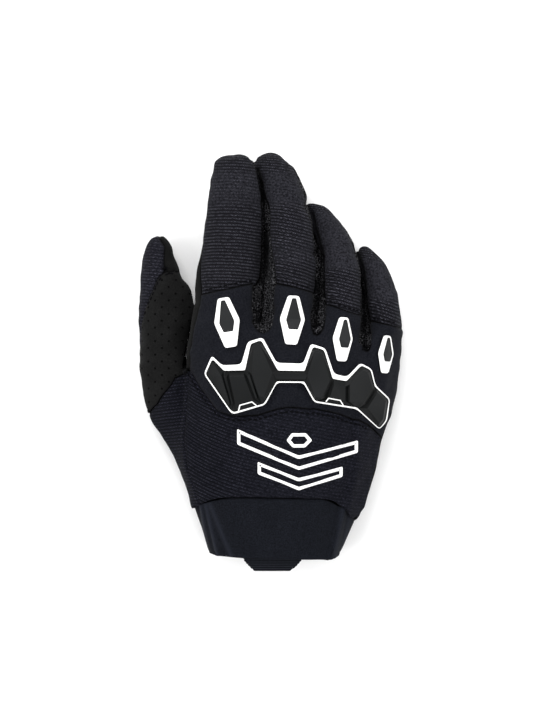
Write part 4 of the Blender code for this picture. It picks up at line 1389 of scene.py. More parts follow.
def ridge_map(points: np.ndarray, lean: float) -> np.ndarray:
    """Distances along and across the rows of a digit's cloth.

    Args:
        points: The cloth's points.
        lean: How far the digit leans to the right, in degrees.

    Returns:
        Two columns in metres: round the digit, and along it over its ridge.
    """
    turn = math.radians(lean)
    way = np.array([math.sin(turn), math.cos(turn)])
    side = np.array([way[1], -way[0]])
    length, beside = points[:, :2] @ way, points[:, :2] @ side
    bins = np.linspace(length.min(), length.max(), 30)
    top = np.array([points[np.abs(length - b) < 0.003][:, 2].max() for b in bins])
    top = np.convolve(np.pad(top, 1, mode="edge"), np.ones(3) / 3, mode="valid")
    arc = np.concatenate([[0.0], np.cumsum(np.hypot(np.diff(bins), np.diff(top)))])
    middle = np.median(beside)
    drop = np.maximum(np.interp(length, bins, top) - points[:, 2], 0.0)
    return np.column_stack([
        beside + np.sign(beside - middle) * drop,
        np.interp(length, bins, arc) + 4.0 * (beside - middle) ** 2,
    ])


def slanting_map(points: np.ndarray, near: float, far: float, reach: float) -> np.ndarray:
    """Distances along and across rows that slope down to the right and level out.

    Args:
        points: The cloth's points.
        near: The rows' slope at the cloth's left, in degrees.
        far: Their slope far to the right.
        reach: How quickly one becomes the other, in metres.

    Returns:
        Two columns in metres.
    """
    x, y = points[:, 0], points[:, 1]
    steps = np.linspace(x.min() - 0.002, x.max() + 0.002, 200)
    slope = np.radians(far + (near - far) * np.exp(-(steps - steps[0]) / reach))
    fall = np.concatenate([[0.0], np.cumsum(np.tan(slope[:-1]) * np.diff(steps))])
    here = np.interp(x, steps, slope)
    mean = math.cos(math.radians((near + 2 * far) / 3))
    return np.column_stack([x / np.cos(here), (y + np.interp(x, steps, fall)) * mean])


def flat_map(points: np.ndarray) -> np.ndarray:
    """Distances along and across rows that run straight over the glove."""
    return np.column_stack([points[:, 0] + 0.5 * points[:, 2], points[:, 1] + 0.3 * points[:, 2]])


CLOTH_MAPS: dict[str, Callable[[np.ndarray], np.ndarray]] = {
    "index_back": lambda points: ridge_map(points, 2.0),
    "middle_back": lambda points: ridge_map(points, 9.0),
    "ring_back": lambda points: ridge_map(points, 9.0),
    "little_back": lambda points: ridge_map(points, 13.0),
    "thumb_back": lambda points: ridge_map(points, 4.0),
    "thumb_gusset": lambda points: slanting_map(points, -10.0, -4.0, 0.02),
    "hand_back": lambda points: slanting_map(points, 42.0, 11.0, 0.016),
}


class Cloth:
    """Cuts the skin into its panels and gives each its wall and its finish."""

    # How far the ribs show on the panels where they don't fully, and how far a smooth zone's edge fades
    RIB_SHARES = {"knuckle_panel": 0.0, "thumb_back": 0.7}
    FADE = 0.003

    def __init__(self, skin: Skin, finishes: dict[str, bpy.types.Material]) -> None:
        """Keeps what the panels are made from.

        Args:
            skin: The glove's surface.
            finishes: The materials, by name.
        """
        self.skin = skin
        self.finishes = finishes
        self.points = coordinates(skin.mesh)
        self.out = normals_of(skin.mesh)

    def cut(self, number: int, panel: Panel) -> bpy.types.Object:
        """Makes one panel.

        Args:
            number: Its number on the skin.
            panel: Its sizes.

        Returns:
            The finished piece.
        """
        polygons = self.skin.mesh.polygons
        faces = [tuple(polygons[i].vertices) for i in np.flatnonzero(self.skin.panel_of == number)]
        used = sorted({i for face in faces for i in face})
        at = {i: n for n, i in enumerate(used)}
        points = self.points[used]
        lift = panel.lift * ramp(points[:, 2], 0.0, self.skin.resting)
        points = points + self.out[used] * lift[:, None]
        mesh = bpy.data.meshes.new(panel.node + "_cloth")
        mesh.from_pydata([tuple(p) for p in points], [], [tuple(at[i] for i in face) for face in faces])
        mapped(mesh, ROWS_MAP, CLOTH_MAPS.get(panel.node, flat_map)(points))
        # The seams map holds the distance for the painted shade of seams and slits, and how far the painted
        # light of ribs and folds shows
        away = self.skin.away[used] / MILLIMETRE
        mapped(mesh, SEAMS_MAP, np.column_stack([away, self.ribs(panel.node, points)]))
        mesh.shade_smooth()
        mesh.materials.append(self.finishes[panel.finish])
        piece = shown(panel.node + "_cloth", mesh)
        self.tuck(piece)
        applied(piece, "SOLIDIFY", thickness=panel.wall, offset=-1.0, use_even_offset=False)
        walled = coordinates(piece.data)
        walled[:, 2] = np.maximum(walled[:, 2], 0.0)
        piece.data.vertices.foreach_set("co", walled.ravel())
        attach(piece, "root")
        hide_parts(panel.node)
        width, length, area = panel.flat
        return piece

    def ribs(self, node: str, points: np.ndarray) -> np.ndarray:
        """Works out how far the ribs show at each point of a panel.

        Args:
            node: The panel's name.
            points: Its points.

        Returns:
            Shares from 0 to 1.
        """
        found = np.full(len(points), self.RIB_SHARES.get(node, 1.0))
        if node == "hand_back":
            left, right = at_pixel(214, 0)[0], at_pixel(262, 0)[0]
            found = 1.0 - 0.55 * ramp(points[:, 0], left, right - left)
        for name, top, bottom, share in SMOOTH_ZONES:
            if name == node:
                middle, half = at_pixel(0, (top + bottom) / 2)[1], (bottom - top) / 2 * PIXEL
                beyond = ramp(np.abs(points[:, 1] - middle), half, self.FADE)
                found *= share + (1 - share) * beyond
        return found

    @staticmethod
    def tuck(piece: bpy.types.Object, gap: float = 0.00008) -> None:
        """Draws a panel's edge back, so that it is clear of its neighbours.

        Args:
            piece: The panel.
            gap: How far.
        """
        shape = bmesh.new()
        shape.from_mesh(piece.data)
        moves = {}
        for vertex in shape.verts:
            if vertex.is_boundary:
                middles = [face.calc_center_median() for face in vertex.link_faces]
                middle = sum(middles, Vector()) / len(middles)
                moves[vertex] = (middle - vertex.co).normalized() * gap
        for vertex, move in moves.items():
            vertex.co += move
        shape.to_mesh(piece.data)
        shape.free()

    def build(self) -> list[bpy.types.Object]:
        """Makes every panel, in the order of their numbers."""
        return [self.cut(number, panel) for number, panel in enumerate(PANELS)]


@dataclass
class Stitches:
    """Rows of thread stitches beside the seams.

    Attributes:
        skin: The glove's surface.
        thread: The thread's material.
        length: One stitch's length.
        pitch: From one stitch to the next.
        radius: The thread's radius.
        seen: How far up the cloth has to look for a stitch to be made.
    """

    skin: Skin
    thread: bpy.types.Material
    length: float = 0.0019
    pitch: float = 0.0027
    radius: float = 0.00038
    seen: float = 0.55

    # The panel that a row lies on, the one across its seam and the distance from it
    ROWS = (
        ("index_back", "knuckle_panel", 0.0020),
        ("middle_back", "knuckle_panel", 0.0020),
        ("ring_back", "knuckle_panel", 0.0020),
        ("little_back", "knuckle_panel", 0.0020),
        ("hand_back", "knuckle_panel", 0.0023),
        ("thumb_patch", "thumb_back", 0.0014),
        ("thumb_patch", "thumb_front", 0.0014),
    )

    def pattern(self) -> bpy.types.Mesh:
        """Models one stitch along X: a short thread that dips at both ends.

        Returns:
            The stitch's mesh.
        """
        bpy.ops.object.select_all(action="DESELECT")
        bpy.ops.mesh.primitive_cylinder_add(
            vertices=6, radius=self.radius, depth=self.length * 0.7, rotation=(0.0, math.pi / 2, 0.0)
        )
        made = bpy.context.view_layer.objects.active
        bpy.ops.object.transform_apply(location=False, rotation=True, scale=False)
        bpy.ops.object.mode_set(mode="EDIT")
        for end in (-1, 1):
            bpy.ops.mesh.select_all(action="DESELECT")
            shape = bmesh.from_edit_mesh(made.data)
            for face in shape.faces:
                face.select = face.normal.x * end > 0.9
            bmesh.update_edit_mesh(made.data)
            bpy.ops.mesh.extrude_region_move(
                TRANSFORM_OT_translate={"value": (end * self.length * 0.15, 0.0, -self.radius * 0.9)}
            )
            bpy.ops.transform.resize(value=(1.0, 0.5, 0.5))
        bpy.ops.object.mode_set(mode="OBJECT")
        mesh = made.data.copy()
        bpy.data.objects.remove(made, do_unlink=True)
        return mesh

    @staticmethod
    def chains(keys: Sequence[tuple[int, int]]) -> list[list[int]]:
        """Joins a seam's edges end to end.

        Args:
            keys: The edges.

        Returns:
            The point numbers along each chain.
        """
        beside = links_of(keys)
        found = []
        left = set(beside)
        while left:
            ends = [v for v in left if len(beside[v]) == 1]
            here = min(ends) if ends else min(left)
            chain = [here]
            left.discard(here)
            while True:
                onward = [v for v in beside[here] if v in left]
                if not onward:
                    break
                here = onward[0]
                left.discard(here)
                chain.append(here)
            found.append(chain)
        return found

    def row(self, panel: str, neighbour: str, offset: float) -> list[tuple[Vector, Vector, Vector]]:
        """Places stitches along one seam.

        Args:
            panel: The panel that they lie on.
            neighbour: The panel across the seam.
            offset: Their distance from the seam.

        Returns:
            Each stitch's middle, direction and the way out of the cloth.
        """
        keys = self.skin.seams.get(tuple(sorted((panel, neighbour))), [])
        mesh = self.skin.mesh
        inner: dict = {}
        wanted = {v for key in keys for v in key}
        for i in np.flatnonzero(self.skin.panel_of == NUMBERS[panel]):
            for v in mesh.polygons[i].vertices:
                if v in wanted:
                    inner.setdefault(v, []).append(mesh.polygons[i].center)
        found = []
        for chain in self.chains(keys):
            line = []
            for k, v in enumerate(chain):
                here = mesh.vertices[v].co
                ahead = mesh.vertices[chain[min(k + 1, len(chain) - 1)]].co
                back = mesh.vertices[chain[max(k - 1, 0)]].co
                along = (ahead - back).normalized()
                middles = inner.get(v, [here])
                inward = sum(middles, Vector()) / len(middles) - here
                inward -= along * inward.dot(along)
                line.append(here + inward.normalized() * offset)
            for _ in range(4):
                line = [line[0]] + [
                    (line[k - 1] + 2 * line[k] + line[k + 1]) / 4 for k in range(1, len(line) - 1)
                ] + [line[-1]]
            run = self.pitch / 2
            for a, b in zip(line, line[1:]):
                span = (b - a).length
                while run < span:
                    hit, out, _, _ = self.skin.tree.find_nearest(a.lerp(b, run / span))
                    found.append((hit, (b - a).normalized(), out))
                    run += self.pitch
                run -= span
        return found

    def build(self) -> bpy.types.Object:
        """Makes all stitches as one piece.

        Returns:
            The piece.
        """
        pattern = self.pattern()
        corners = [v.co.copy() for v in pattern.vertices]
        sides = [tuple(p.vertices) for p in pattern.polygons]
        points, faces = [], []
        for panel, neighbour, offset in self.ROWS:
            foot = PANELS[NUMBERS[panel]].lift + self.radius * 0.35
            for middle, along, out in self.row(panel, neighbour, offset):
                if out.z <= self.seen:
                    continue
                across = out.cross(along).normalized()
                faces += [tuple(len(points) + i for i in side) for side in sides]
                points += [
                    middle + out * (foot + corner.z) + along * corner.x + across * corner.y
                    for corner in corners
                ]
        mesh = bpy.data.meshes.new("stitches")
        mesh.from_pydata([tuple(p) for p in points], [], faces)
        mesh.materials.append(self.thread)
        mesh.shade_smooth()
        piece = shown("stitches", mesh)
        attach(piece, "root")
        return piece


def triangulated(
    outline: Sequence[Flat],
    holes: Sequence[Sequence[Flat]] = (),
    ridges: Sequence[Sequence[Flat]] = (),
    grid: float = 0.0,
) -> tuple[list[Vector], list[tuple[int, int, int]]]:
    """Fills an outline with triangles that follow its holes and ridge lines.

    Args:
        outline: The outer edge.
        holes: Closed edges inside it.
        ridges: Open lines inside it.
        grid: The spacing of extra points, or 0 for none.

    Returns:
        The flat points, and the triangles as rows of three point numbers.
    """
    points, edges = [], []

    def add(line: Sequence[Flat], closed: bool) -> None:
        """Adds one line's points and edges.

        Args:
            line: The points.
            closed: Whether the last joins the first.
        """
        start, count = len(points), len(line)
        points.extend(Vector(p) for p in line)
        last = count if closed else count - 1
        edges.extend((start + i, start + (i + 1) % count) for i in range(last))

    add(outline, True)
    for hole in holes:
        add(hole, True)
    for ridge in ridges:
        add(ridge, False)
    if grid:
        low = [min(p[i] for p in outline) for i in (0, 1)]
        high = [max(p[i] for p in outline) for i in (0, 1)]
        for i in range(int((high[0] - low[0]) / grid) + 1):
            for k in range(int((high[1] - low[1]) / grid) + 1):
                place = (low[0] + (i + 0.5 * (k % 2)) * grid, low[1] + k * grid)
                if within(place, outline) and not any(within(place, hole) for hole in holes):
                    points.append(Vector(place))
    made, _, triangles, _, _, _ = delaunay_2d_cdt(points, edges, [], 0, 1e-7)
    kept = []
    for triangle in triangles:
        a, b, c = (made[i] for i in triangle)
        middle = (a + b + c) / 3
        if abs((b - a).cross(c - a)) > 1e-10 and within(middle, outline):
            if not any(within(middle, hole) for hole in holes):
                kept.append(tuple(triangle))
    return made, kept


def within(place: Flat, outline: Sequence[Flat]) -> bool:
    """Tells whether a place is inside an outline.

    Args:
        place: The place.
        outline: The outline's corners.

    Returns:
        Whether it is.
    """
    found = False
    for (x0, y0), (x1, y1) in zip(outline, [*outline[1:], outline[0]]):
        if (y0 > place[1]) != (y1 > place[1]) and place[0] < x0 + (place[1] - y0) / (y1 - y0) * (x1 - x0):
            found = not found
    return found


def inset(outline: Sequence[Flat], gap: float) -> list[Flat]:
    """Moves an outline inwards.

    Args:
        outline: The outline's corners.
        gap: How far; below zero it moves outwards.

    Returns:
        The moved outline.
    """
    area = sum(a[0] * b[1] - b[0] * a[1] for a, b in zip(outline, [*outline[1:], outline[0]]))
    turn = 1 if area > 0 else -1
    found = []
    for i, here in enumerate(outline):
        one = (Vector(here) - Vector(outline[i - 1])).normalized()
        two = (Vector(outline[(i + 1) % len(outline)]) - Vector(here)).normalized()
        left, right = Vector((-one.y, one.x)) * turn, Vector((-two.y, two.x)) * turn
        found.append(tuple(Vector(here) + (left + right) / max(0.35, 1 + left.dot(right)) * gap))
    return found


def rounded(outline: Sequence[Flat], radius: float, steps: int = 4) -> list[Flat]:
    """An outline with its corners rounded.

    Args:
        outline: The corners.
        radius: How far from each corner the curve starts.
        steps: The curve's steps.

    Returns:
        The rounded outline.
    """
    found = []
    for i, here in enumerate(outline):
        here = Vector(here)
        before, after = Vector(outline[i - 1]), Vector(outline[(i + 1) % len(outline)])
        start = here + (before - here).normalized() * min(radius, (before - here).length * 0.4)
        end = here + (after - here).normalized() * min(radius, (after - here).length * 0.4)
        for k in range(steps + 1):
            t = k / steps
            found.append(tuple(start * (1 - t) ** 2 + here * 2 * t * (1 - t) + end * t * t))
    return found


def slab(
    name: str,
    flat: Sequence[Vector],
    triangles: Sequence[tuple[int, int, int]],
    top: Callable[[float, float], Vector],
    bottom: Callable[[float, float], Vector],
) -> bpy.types.Object:
    """Makes a closed piece between two surfaces over the same flat triangles.

    Args:
        name: The piece's name.
        flat: The flat points.
        triangles: The triangles between them.
        top: Gives the upper surface's point over a place.
        bottom: Gives the lower surface's point.

    Returns:
        The piece.
    """
    used = sorted({i for t in triangles for i in t})
    at = {i: n for n, i in enumerate(used)}
    size = len(used)
    points = [top(*flat[i]) for i in used] + [bottom(*flat[i]) for i in used]
    faces = [tuple(at[i] for i in t) for t in triangles]
    faces += [tuple(size + i for i in reversed(face)) for face in faces]
    edges = {(at[t[i]], at[t[(i + 1) % 3]]) for t in triangles for i in range(3)}
    faces += [(b, a, size + a, size + b) for a, b in edges if (b, a) not in edges]
    mesh = bpy.data.meshes.new(name)
    mesh.from_pydata([tuple(p) for p in points], [], faces)
    return shown(name, mesh)


@dataclass
class Base:
    """A smooth surface laid over the skin under one moulded piece.

    Attributes:
        skin: The glove's surface.
        outline: The piece's outline.
        lift: How far the cloth stands proud of the skin there.
        degree: How freely the surface bends.
    """

    skin: Skin
    outline: Sequence[Flat]
    lift: float = 0.0004
    degree: int = 3

    def __post_init__(self) -> None:
        """Fits the surface to the skin."""
        xs, ys = zip(*self.outline)
        self.middle = np.array([(min(xs) + max(xs)) / 2, (min(ys) + max(ys)) / 2])
        self.scale = max(max(xs) - min(xs), max(ys) - min(ys)) / 2
        places = [
            (x, y)
            for x in np.linspace(min(xs), max(xs), 40)
            for y in np.linspace(min(ys), max(ys), 40)
            if within((x, y), self.outline)
        ]
        heights = np.array([self.skin.over(x, y)[0].z for x, y in places])
        terms = np.array([self.terms(x, y) for x, y in places])
        self.weights = np.linalg.lstsq(terms, heights, rcond=None)[0]
        self.rise = self.lift + float(np.percentile(heights - terms @ self.weights, 90))

    def terms(self, x: float, y: float) -> list[float]:
        """The surface's terms at a place, from the flat one to those of its full degree."""
        u, v = (x - self.middle[0]) / self.scale, (y - self.middle[1]) / self.scale
        return [u ** i * v ** k for i in range(self.degree + 1) for k in range(self.degree + 1 - i)]

    def at(self, x: float, y: float, height: float) -> Vector:
        """A point at a height over the smooth surface."""
        return Vector((x, y, float(np.dot(self.terms(x, y), self.weights)) + self.rise + height))

    def cloth(self, x: float, y: float) -> Vector:
        """The point on the cloth itself."""
        hit, _ = self.skin.over(x, y)
        return Vector((x, y, hit.z + self.lift))


@dataclass
class KnuckleGuard:
    """The faceted black guard over the knuckles, its white rim and its two small windows.

    Attributes:
        skin: The glove's surface.
        finishes: The materials, by name.
        edge: Height of the guard at its outline.
        rim: Height of the rim.
        corner: How round the rim's corners are.
        over: How far the rim's outline lies past the photograph's.
        groove: How far the rim's inner edge lies outside the guard's outline.
        under: How far the guard reaches under the rim.
        line: Half width of the windows' lines.
        line_top: Height of the windows' lines.
        line_foot: Height from which they rise.
    """

    skin: Skin
    finishes: dict[str, bpy.types.Material]
    edge: float = 0.0015
    rim: float = 0.0021
    corner: float = 0.0019
    over: float = 0.00022
    groove: float = 0.00044
    under: float = 0.00034
    line: float = 0.00028
    line_top: float = 0.0031
    line_foot: float = 0.0009

    OUTER = (
        (212.3, 354.9), (222.5, 364.8), (241.2, 364.0), (247.6, 341.6), (262.9, 337.0), (276.8, 362.3),
        (302.6, 363.2), (310.3, 343.2), (325.2, 348.0), (333.6, 373.2), (346.2, 376.3), (359.8, 362.4),
        (371.6, 368.6), (375.6, 385.0), (390.8, 399.0), (388.1, 421.5), (380.0, 430.6), (355.9, 409.1),
        (313.4, 402.2), (302.8, 382.9), (277.1, 382.7), (265.6, 404.6), (234.5, 413.9), (230.4, 411.9),
        (204.1, 373.8),
    )
    INNER = (
        (213.2, 360.3), (224.0, 371.4), (246.0, 371.0), (251.8, 344.6), (260.8, 341.4), (277.4, 371.2),
        (304.8, 371.6), (313.2, 347.8), (322.8, 350.8), (331.4, 379.2), (346.0, 381.8), (361.0, 366.4),
        (369.3, 370.4), (373.8, 387.0), (388.3, 400.2), (385.6, 420.4), (380.0, 427.6), (356.8, 406.4),
        (315.2, 399.6), (304.3, 380.4), (276.2, 380.2), (263.6, 402.4), (234.2, 410.8), (231.2, 408.6),
        (207.2, 373.9),
    )
    # The facets' edges: places in the photograph, each with its height in millimetres
    RIDGES = (
        ((214.6, 364.5, 3.0), (221.6, 375.5, 3.4), (229.8, 402.4, 3.0)),
        ((223.0, 376.0, 2.0), (230.9, 402.8, 1.9)),
        ((224.3, 376.2, 2.7), (231.8, 403.0, 2.5)),
        ((226.9, 377.0, 2.5), (233.1, 403.0, 2.3)),
        ((228.2, 377.0, 1.7), (234.2, 402.8, 1.7)),
        ((229.4, 372.9, 1.3), (244.2, 372.6, 1.3)),
        ((230.0, 376.6, 2.5), (244.4, 376.4, 2.5)),
        ((230.0, 376.6, 2.5), (235.4, 402.2, 2.3)),
        ((244.4, 376.4, 2.5), (253.4, 399.4, 2.3)),
        ((246.0, 376.2, 1.7), (255.0, 399.0, 1.7)),
        ((247.4, 375.8, 2.5), (256.0, 398.4, 2.4)),
        ((249.6, 375.0, 2.9), (257.0, 396.8, 2.8)),
        ((250.7, 374.4, 1.8), (258.0, 396.2, 1.8)),
        ((253.8, 347.0, 3.5), (251.9, 373.6, 3.6), (259.2, 395.8, 3.4)),
        ((260.2, 345.2, 3.5), (272.6, 373.0, 3.6), (264.2, 396.0, 3.4)),
        ((276.6, 373.4, 2.4), (304.8, 373.6, 2.4)),
        ((276.6, 378.6, 2.4), (305.2, 378.9, 2.4)),
        ((314.4, 351.6, 3.5), (306.9, 375.2, 3.6), (314.4, 396.6, 3.4)),
        ((321.6, 354.2, 3.5), (329.4, 379.6, 3.6), (321.6, 397.0, 3.4)),
        ((331.4, 383.0, 1.5), (325.2, 398.6, 1.5)),
        ((333.6, 384.6, 2.8), (344.6, 386.2, 2.8)),
        ((333.6, 384.6, 2.8), (328.4, 398.8, 2.6)),
        ((344.6, 386.2, 2.8), (344.8, 400.8, 2.6)),
        ((346.6, 387.0, 1.6), (346.4, 401.2, 1.5)),
        ((361.2, 369.4, 3.4), (349.2, 384.0, 3.6), (349.2, 401.0, 3.4)),
        ((367.2, 372.6, 3.4), (371.6, 387.6, 3.6), (362.6, 402.6, 3.4)),
        ((375.0, 390.4, 1.6), (364.8, 405.8, 1.5)),
        (
            (377.2, 392.6, 3.2), (386.0, 401.6, 3.2), (383.2, 419.4, 3.2), (379.8, 423.6, 3.2),
            (367.2, 408.2, 3.2), (377.2, 392.6, 3.2),
        ),
    )
    # The numbers of the ridges that bound a flat pad
    PADS = ((13, 14), (17, 18), (24, 25), (27,))

    # The middle of each window's line
    WINDOWS = (
        ((238.8, 411.0), (240.2, 404.8), (252.2, 401.4), (257.0, 405.4)),
        ((325.2, 401.4), (328.0, 397.8), (339.6, 400.0), (342.8, 405.2)),
    )

    def corners(self) -> list[Flat]:
        """The rounded outline of the guard in the photograph."""
        return rounded(over_glove(self.INNER, RAISED), self.corner * 0.5, 3)

    def levels(self, base: Base, places: Sequence[Flat]) -> list[float]:
        """Finds the height over the floor of each point of the ridges.

        Args:
            base: The smooth surface under the guard.
            places: The ridges' points.

        Returns:
            The heights, with each pad's points brought onto one plane.
        """
        tall = [h * MILLIMETRE for ridge in self.RIDGES for _, _, h in ridge]
        found = [base.at(*place, height).z for place, height in zip(places, tall)]
        owner = np.repeat(np.arange(len(self.RIDGES)), [len(ridge) for ridge in self.RIDGES])
        for pad in self.PADS:
            members = np.flatnonzero(np.isin(owner, pad))
            sides = np.array([(*places[i], 1.0) for i in members])
            plane = np.linalg.lstsq(sides, np.array([found[i] for i in members]), rcond=None)[0]
            for i, level in zip(members, sides @ plane):
                found[i] = float(level)
        return found

    def body(self, base: Base) -> bpy.types.Object:
        """Models the faceted guard.

        Args:
            base: The smooth surface under it.

        Returns:
            The piece.
        """
        ridges = [over_glove(((x, y) for x, y, _ in ridge), RAISED) for ridge in self.RIDGES]
        places = [place for ridge in ridges for place in ridge]
        near = tree_of([(*place, 0.0) for place in places])
        levels = self.levels(base, places)
        flat, triangles = triangulated(inset(self.corners(), -self.under), ridges=ridges)

        def top(x: float, y: float) -> Vector:
            """Finds the guard's face.

            Args:
                x: Where, in metres.
                y: Where, in metres.

            Returns:
                The point over that place.
            """
            _, number, gap = near.find((x, y, 0.0))
            if gap < 1e-5:
                return Vector((x, y, levels[number]))
            return base.at(x, y, self.edge)

        return bevelled(slab("guard_body", flat, triangles, top, base.cloth), 0.00028, 2, 9)

    @staticmethod
    def band(
        name: str,
        outer: Sequence[Flat],
        hole: Sequence[Flat],
        top: Callable[[float, float], Vector],
        foot: Callable[[float, float], Vector],
    ) -> bpy.types.Object:
        """Models a raised ring or line between its face and its foot."""
        flat, triangles = triangulated(outer, [hole] if hole else [])
        return bevelled(slab(name, flat, triangles, top, foot), 0.00032, 3, 50)

    def window(self, number: int, base: Base) -> bpy.types.Object:
        """Models the thin white line round one window.

        Args:
            number: The window's number.
            base: The smooth surface under the guard.

        Returns:
            The piece.
        """
        middle = [Vector(place) for place in over_glove(self.WINDOWS[number], RAISED)]
        sides = ([], [])
        for i, here in enumerate(middle):
            before, after = middle[max(i - 1, 0)], middle[min(i + 1, len(middle) - 1)]
            one = (here - before).normalized() if i else (after - here).normalized()
            two = (after - here).normalized() if i < len(middle) - 1 else one
            across = Vector((-one.y - two.y, one.x + two.x)).normalized()
            across /= max(0.5, across.dot(Vector((-one.y, one.x))))
            for side, sign in zip(sides, (1, -1)):
                side.append(tuple(here + across * sign * self.line))
        outline = sides[0] + sides[1][::-1]
        return self.band(
            f"guard_window_{number + 1}", outline, (),
            lambda x, y: base.at(x, y, self.line_top), lambda x, y: base.at(x, y, self.line_foot),
        )

    def build(self) -> list[bpy.types.Object]:
        """Makes the guard, its rim and its windows.

        Returns:
            The pieces.
        """
        outer = inset(rounded(over_glove(self.OUTER, RAISED), self.corner), self.over)
        hole = inset(self.corners(), -self.groove)
        base = Base(self.skin, outer)
        rim = self.band("guard_edge", outer, hole, lambda x, y: base.at(x, y, self.rim), base.cloth)
        body = self.body(base)
        pieces = [body, rim, *(self.window(i, base) for i in range(len(self.WINDOWS)))]
        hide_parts("knuckle_guard")
        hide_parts("guard_rim")
        for piece in pieces:
            black = piece is body
            piece.data.materials.append(self.finishes["black_rubber" if black else "white_rubber"])
            piece.data.shade_flat()
            if not black:
                smooth_but_for(piece, 35)
            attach(piece, "root")
        return pieces


@dataclass(frozen=True)
class Badge:
    """One finger's white moulded badge with its dark inset.

    Attributes:
        finger: The finger's name.
        x: Its middle, in the photograph.
        y: Its middle.
        width: In pixels.
        length: In pixels.
        lean: To the right, in degrees.
        side: How far the inset lies to one side, as a share of the width.
    """

    finger: str
    x: float
    y: float
    width: float
    length: float
    lean: float
    side: float

    # The heights of the badge and its inset, and both outlines as shares of the width and the length
    PLATE = 0.0016
    STUD = 0.0012
    OUTLINE = ((-0.22, 0.5), (0.22, 0.5), (0.5, 0.02), (0.23, -0.5), (-0.23, -0.5), (-0.5, 0.02))
    INSET = ((-0.11, 0.45), (0.05, 0.45), (0.29, 0.01), (0.18, -0.19), (-0.19, -0.19), (-0.31, 0.0))

    def placed(self, corners: Sequence[Flat], beside: float = 0.0) -> list[Flat]:
        """Puts corners over the glove.

        Args:
            corners: Shares of the badge's width and length.
            beside: How far they lie to one side, as a share of the width.

        Returns:
            The places.
        """
        turn = math.radians(self.lean)
        sizes = [((a + beside) * self.width, b * self.length) for a, b in corners]
        return over_glove((
            (
                self.x + x * math.cos(turn) + y * math.sin(turn),
                self.y + x * math.sin(turn) - y * math.cos(turn),
            ) for x, y in sizes
        ), RAISED)

    def build(self, skin: Skin, finishes: dict[str, bpy.types.Material]) -> list[bpy.types.Object]:
        """Makes the badge and its inset.

        Args:
            skin: The glove's surface.
            finishes: The materials, by name.

        Returns:
            Both pieces.
        """
        outline = rounded(self.placed(self.OUTLINE), 0.0012)
        hole = rounded(self.placed(self.INSET, self.side), 0.0006, 3)
        base = Base(skin, outline, degree=2)
        plate = slab(
            f"badge_plate_{self.finger}", *triangulated(outline, [hole]),
            lambda x, y: base.at(x, y, self.PLATE), base.cloth,
        )
        bevelled(plate, 0.00035, 3, 50)
        stud = slab(
            f"badge_stud_{self.finger}", *triangulated(inset(hole, 0.00010)),
            lambda x, y: base.at(x, y, self.STUD), base.cloth,
        )
        bevelled(stud, 0.00015, 2, 12)
        for piece, node, slot in ((plate, "badge_", "white_rubber"), (stud, "inset_", "grey_rubber")):
            piece.data.materials.append(finishes[slot])
            smooth_but_for(piece, 30)
            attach(piece, "root")
            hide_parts(node + self.finger)
        return [plate, stud]


BADGES = (
    Badge("index", 227.5, 322.7, 25.6, 49.6, -9, 0.0),
    Badge("middle", 292.2, 320.4, 25.0, 48.4, 3, 0.06),
    Badge("ring", 342.2, 339.4, 20.2, 43.6, 3, 0.12),
    Badge("little", 386.0, 354.4, 16.4, 37.6, 4, 0.13),
)


@dataclass
class ChevronPrint:
    """A generic print on the back of the hand: two wide chevrons and a hexagon in outline.

    Attributes:
        skin: The glove's surface.
        ink: The ink's material.
        line: Width of the outlines.
        height: How thick the ink is.
        sunk: How far its lower side lies under the cloth.
        grid: The spacing of the points that let it follow the cloth.
    """

    skin: Skin
    ink: bpy.types.Material
    line: float = 0.0016
    height: float = 0.00022
    sunk: float = 0.0001
    grid: float = 0.0011

    SHAPES = (
        ((238, 427), (298, 453), (356, 438.5), (356, 450.5), (298, 467), (238, 442)),
        ((258, 459), (298, 475), (341, 464), (341, 474), (298, 487), (258, 471)),
        ((291, 431), (305, 431), (311, 438), (304, 445), (292, 445), (286, 438)),
    )

    def over_cloth(self, x: float, y: float, height: float) -> Vector:
        """A point at a height over the cloth."""
        return Vector((x, y, self.skin.over(x, y)[0].z + height))

    def build(self) -> bpy.types.Object:
        """Makes the whole print as one piece.

        Returns:
            The piece.
        """
        parts = []
        for number, shape in enumerate(self.SHAPES):
            outline = rounded(over_glove(shape), 0.0008, 3)
            flat, triangles = triangulated(outline, [inset(outline, self.line)], grid=self.grid)
            parts.append(slab(
                f"print_{number}", flat, triangles,
                lambda x, y: self.over_cloth(x, y, self.height),
                lambda x, y: self.over_cloth(x, y, -self.sunk),
            ))
        only(parts[0])
        for part in parts:
            part.select_set(True)
        bpy.ops.object.join()
        piece = parts[0]
        piece.name = "chevron_print"
        piece.data.materials.append(self.ink)
        smooth_but_for(piece, 35)
        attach(piece, "root")
        return piece


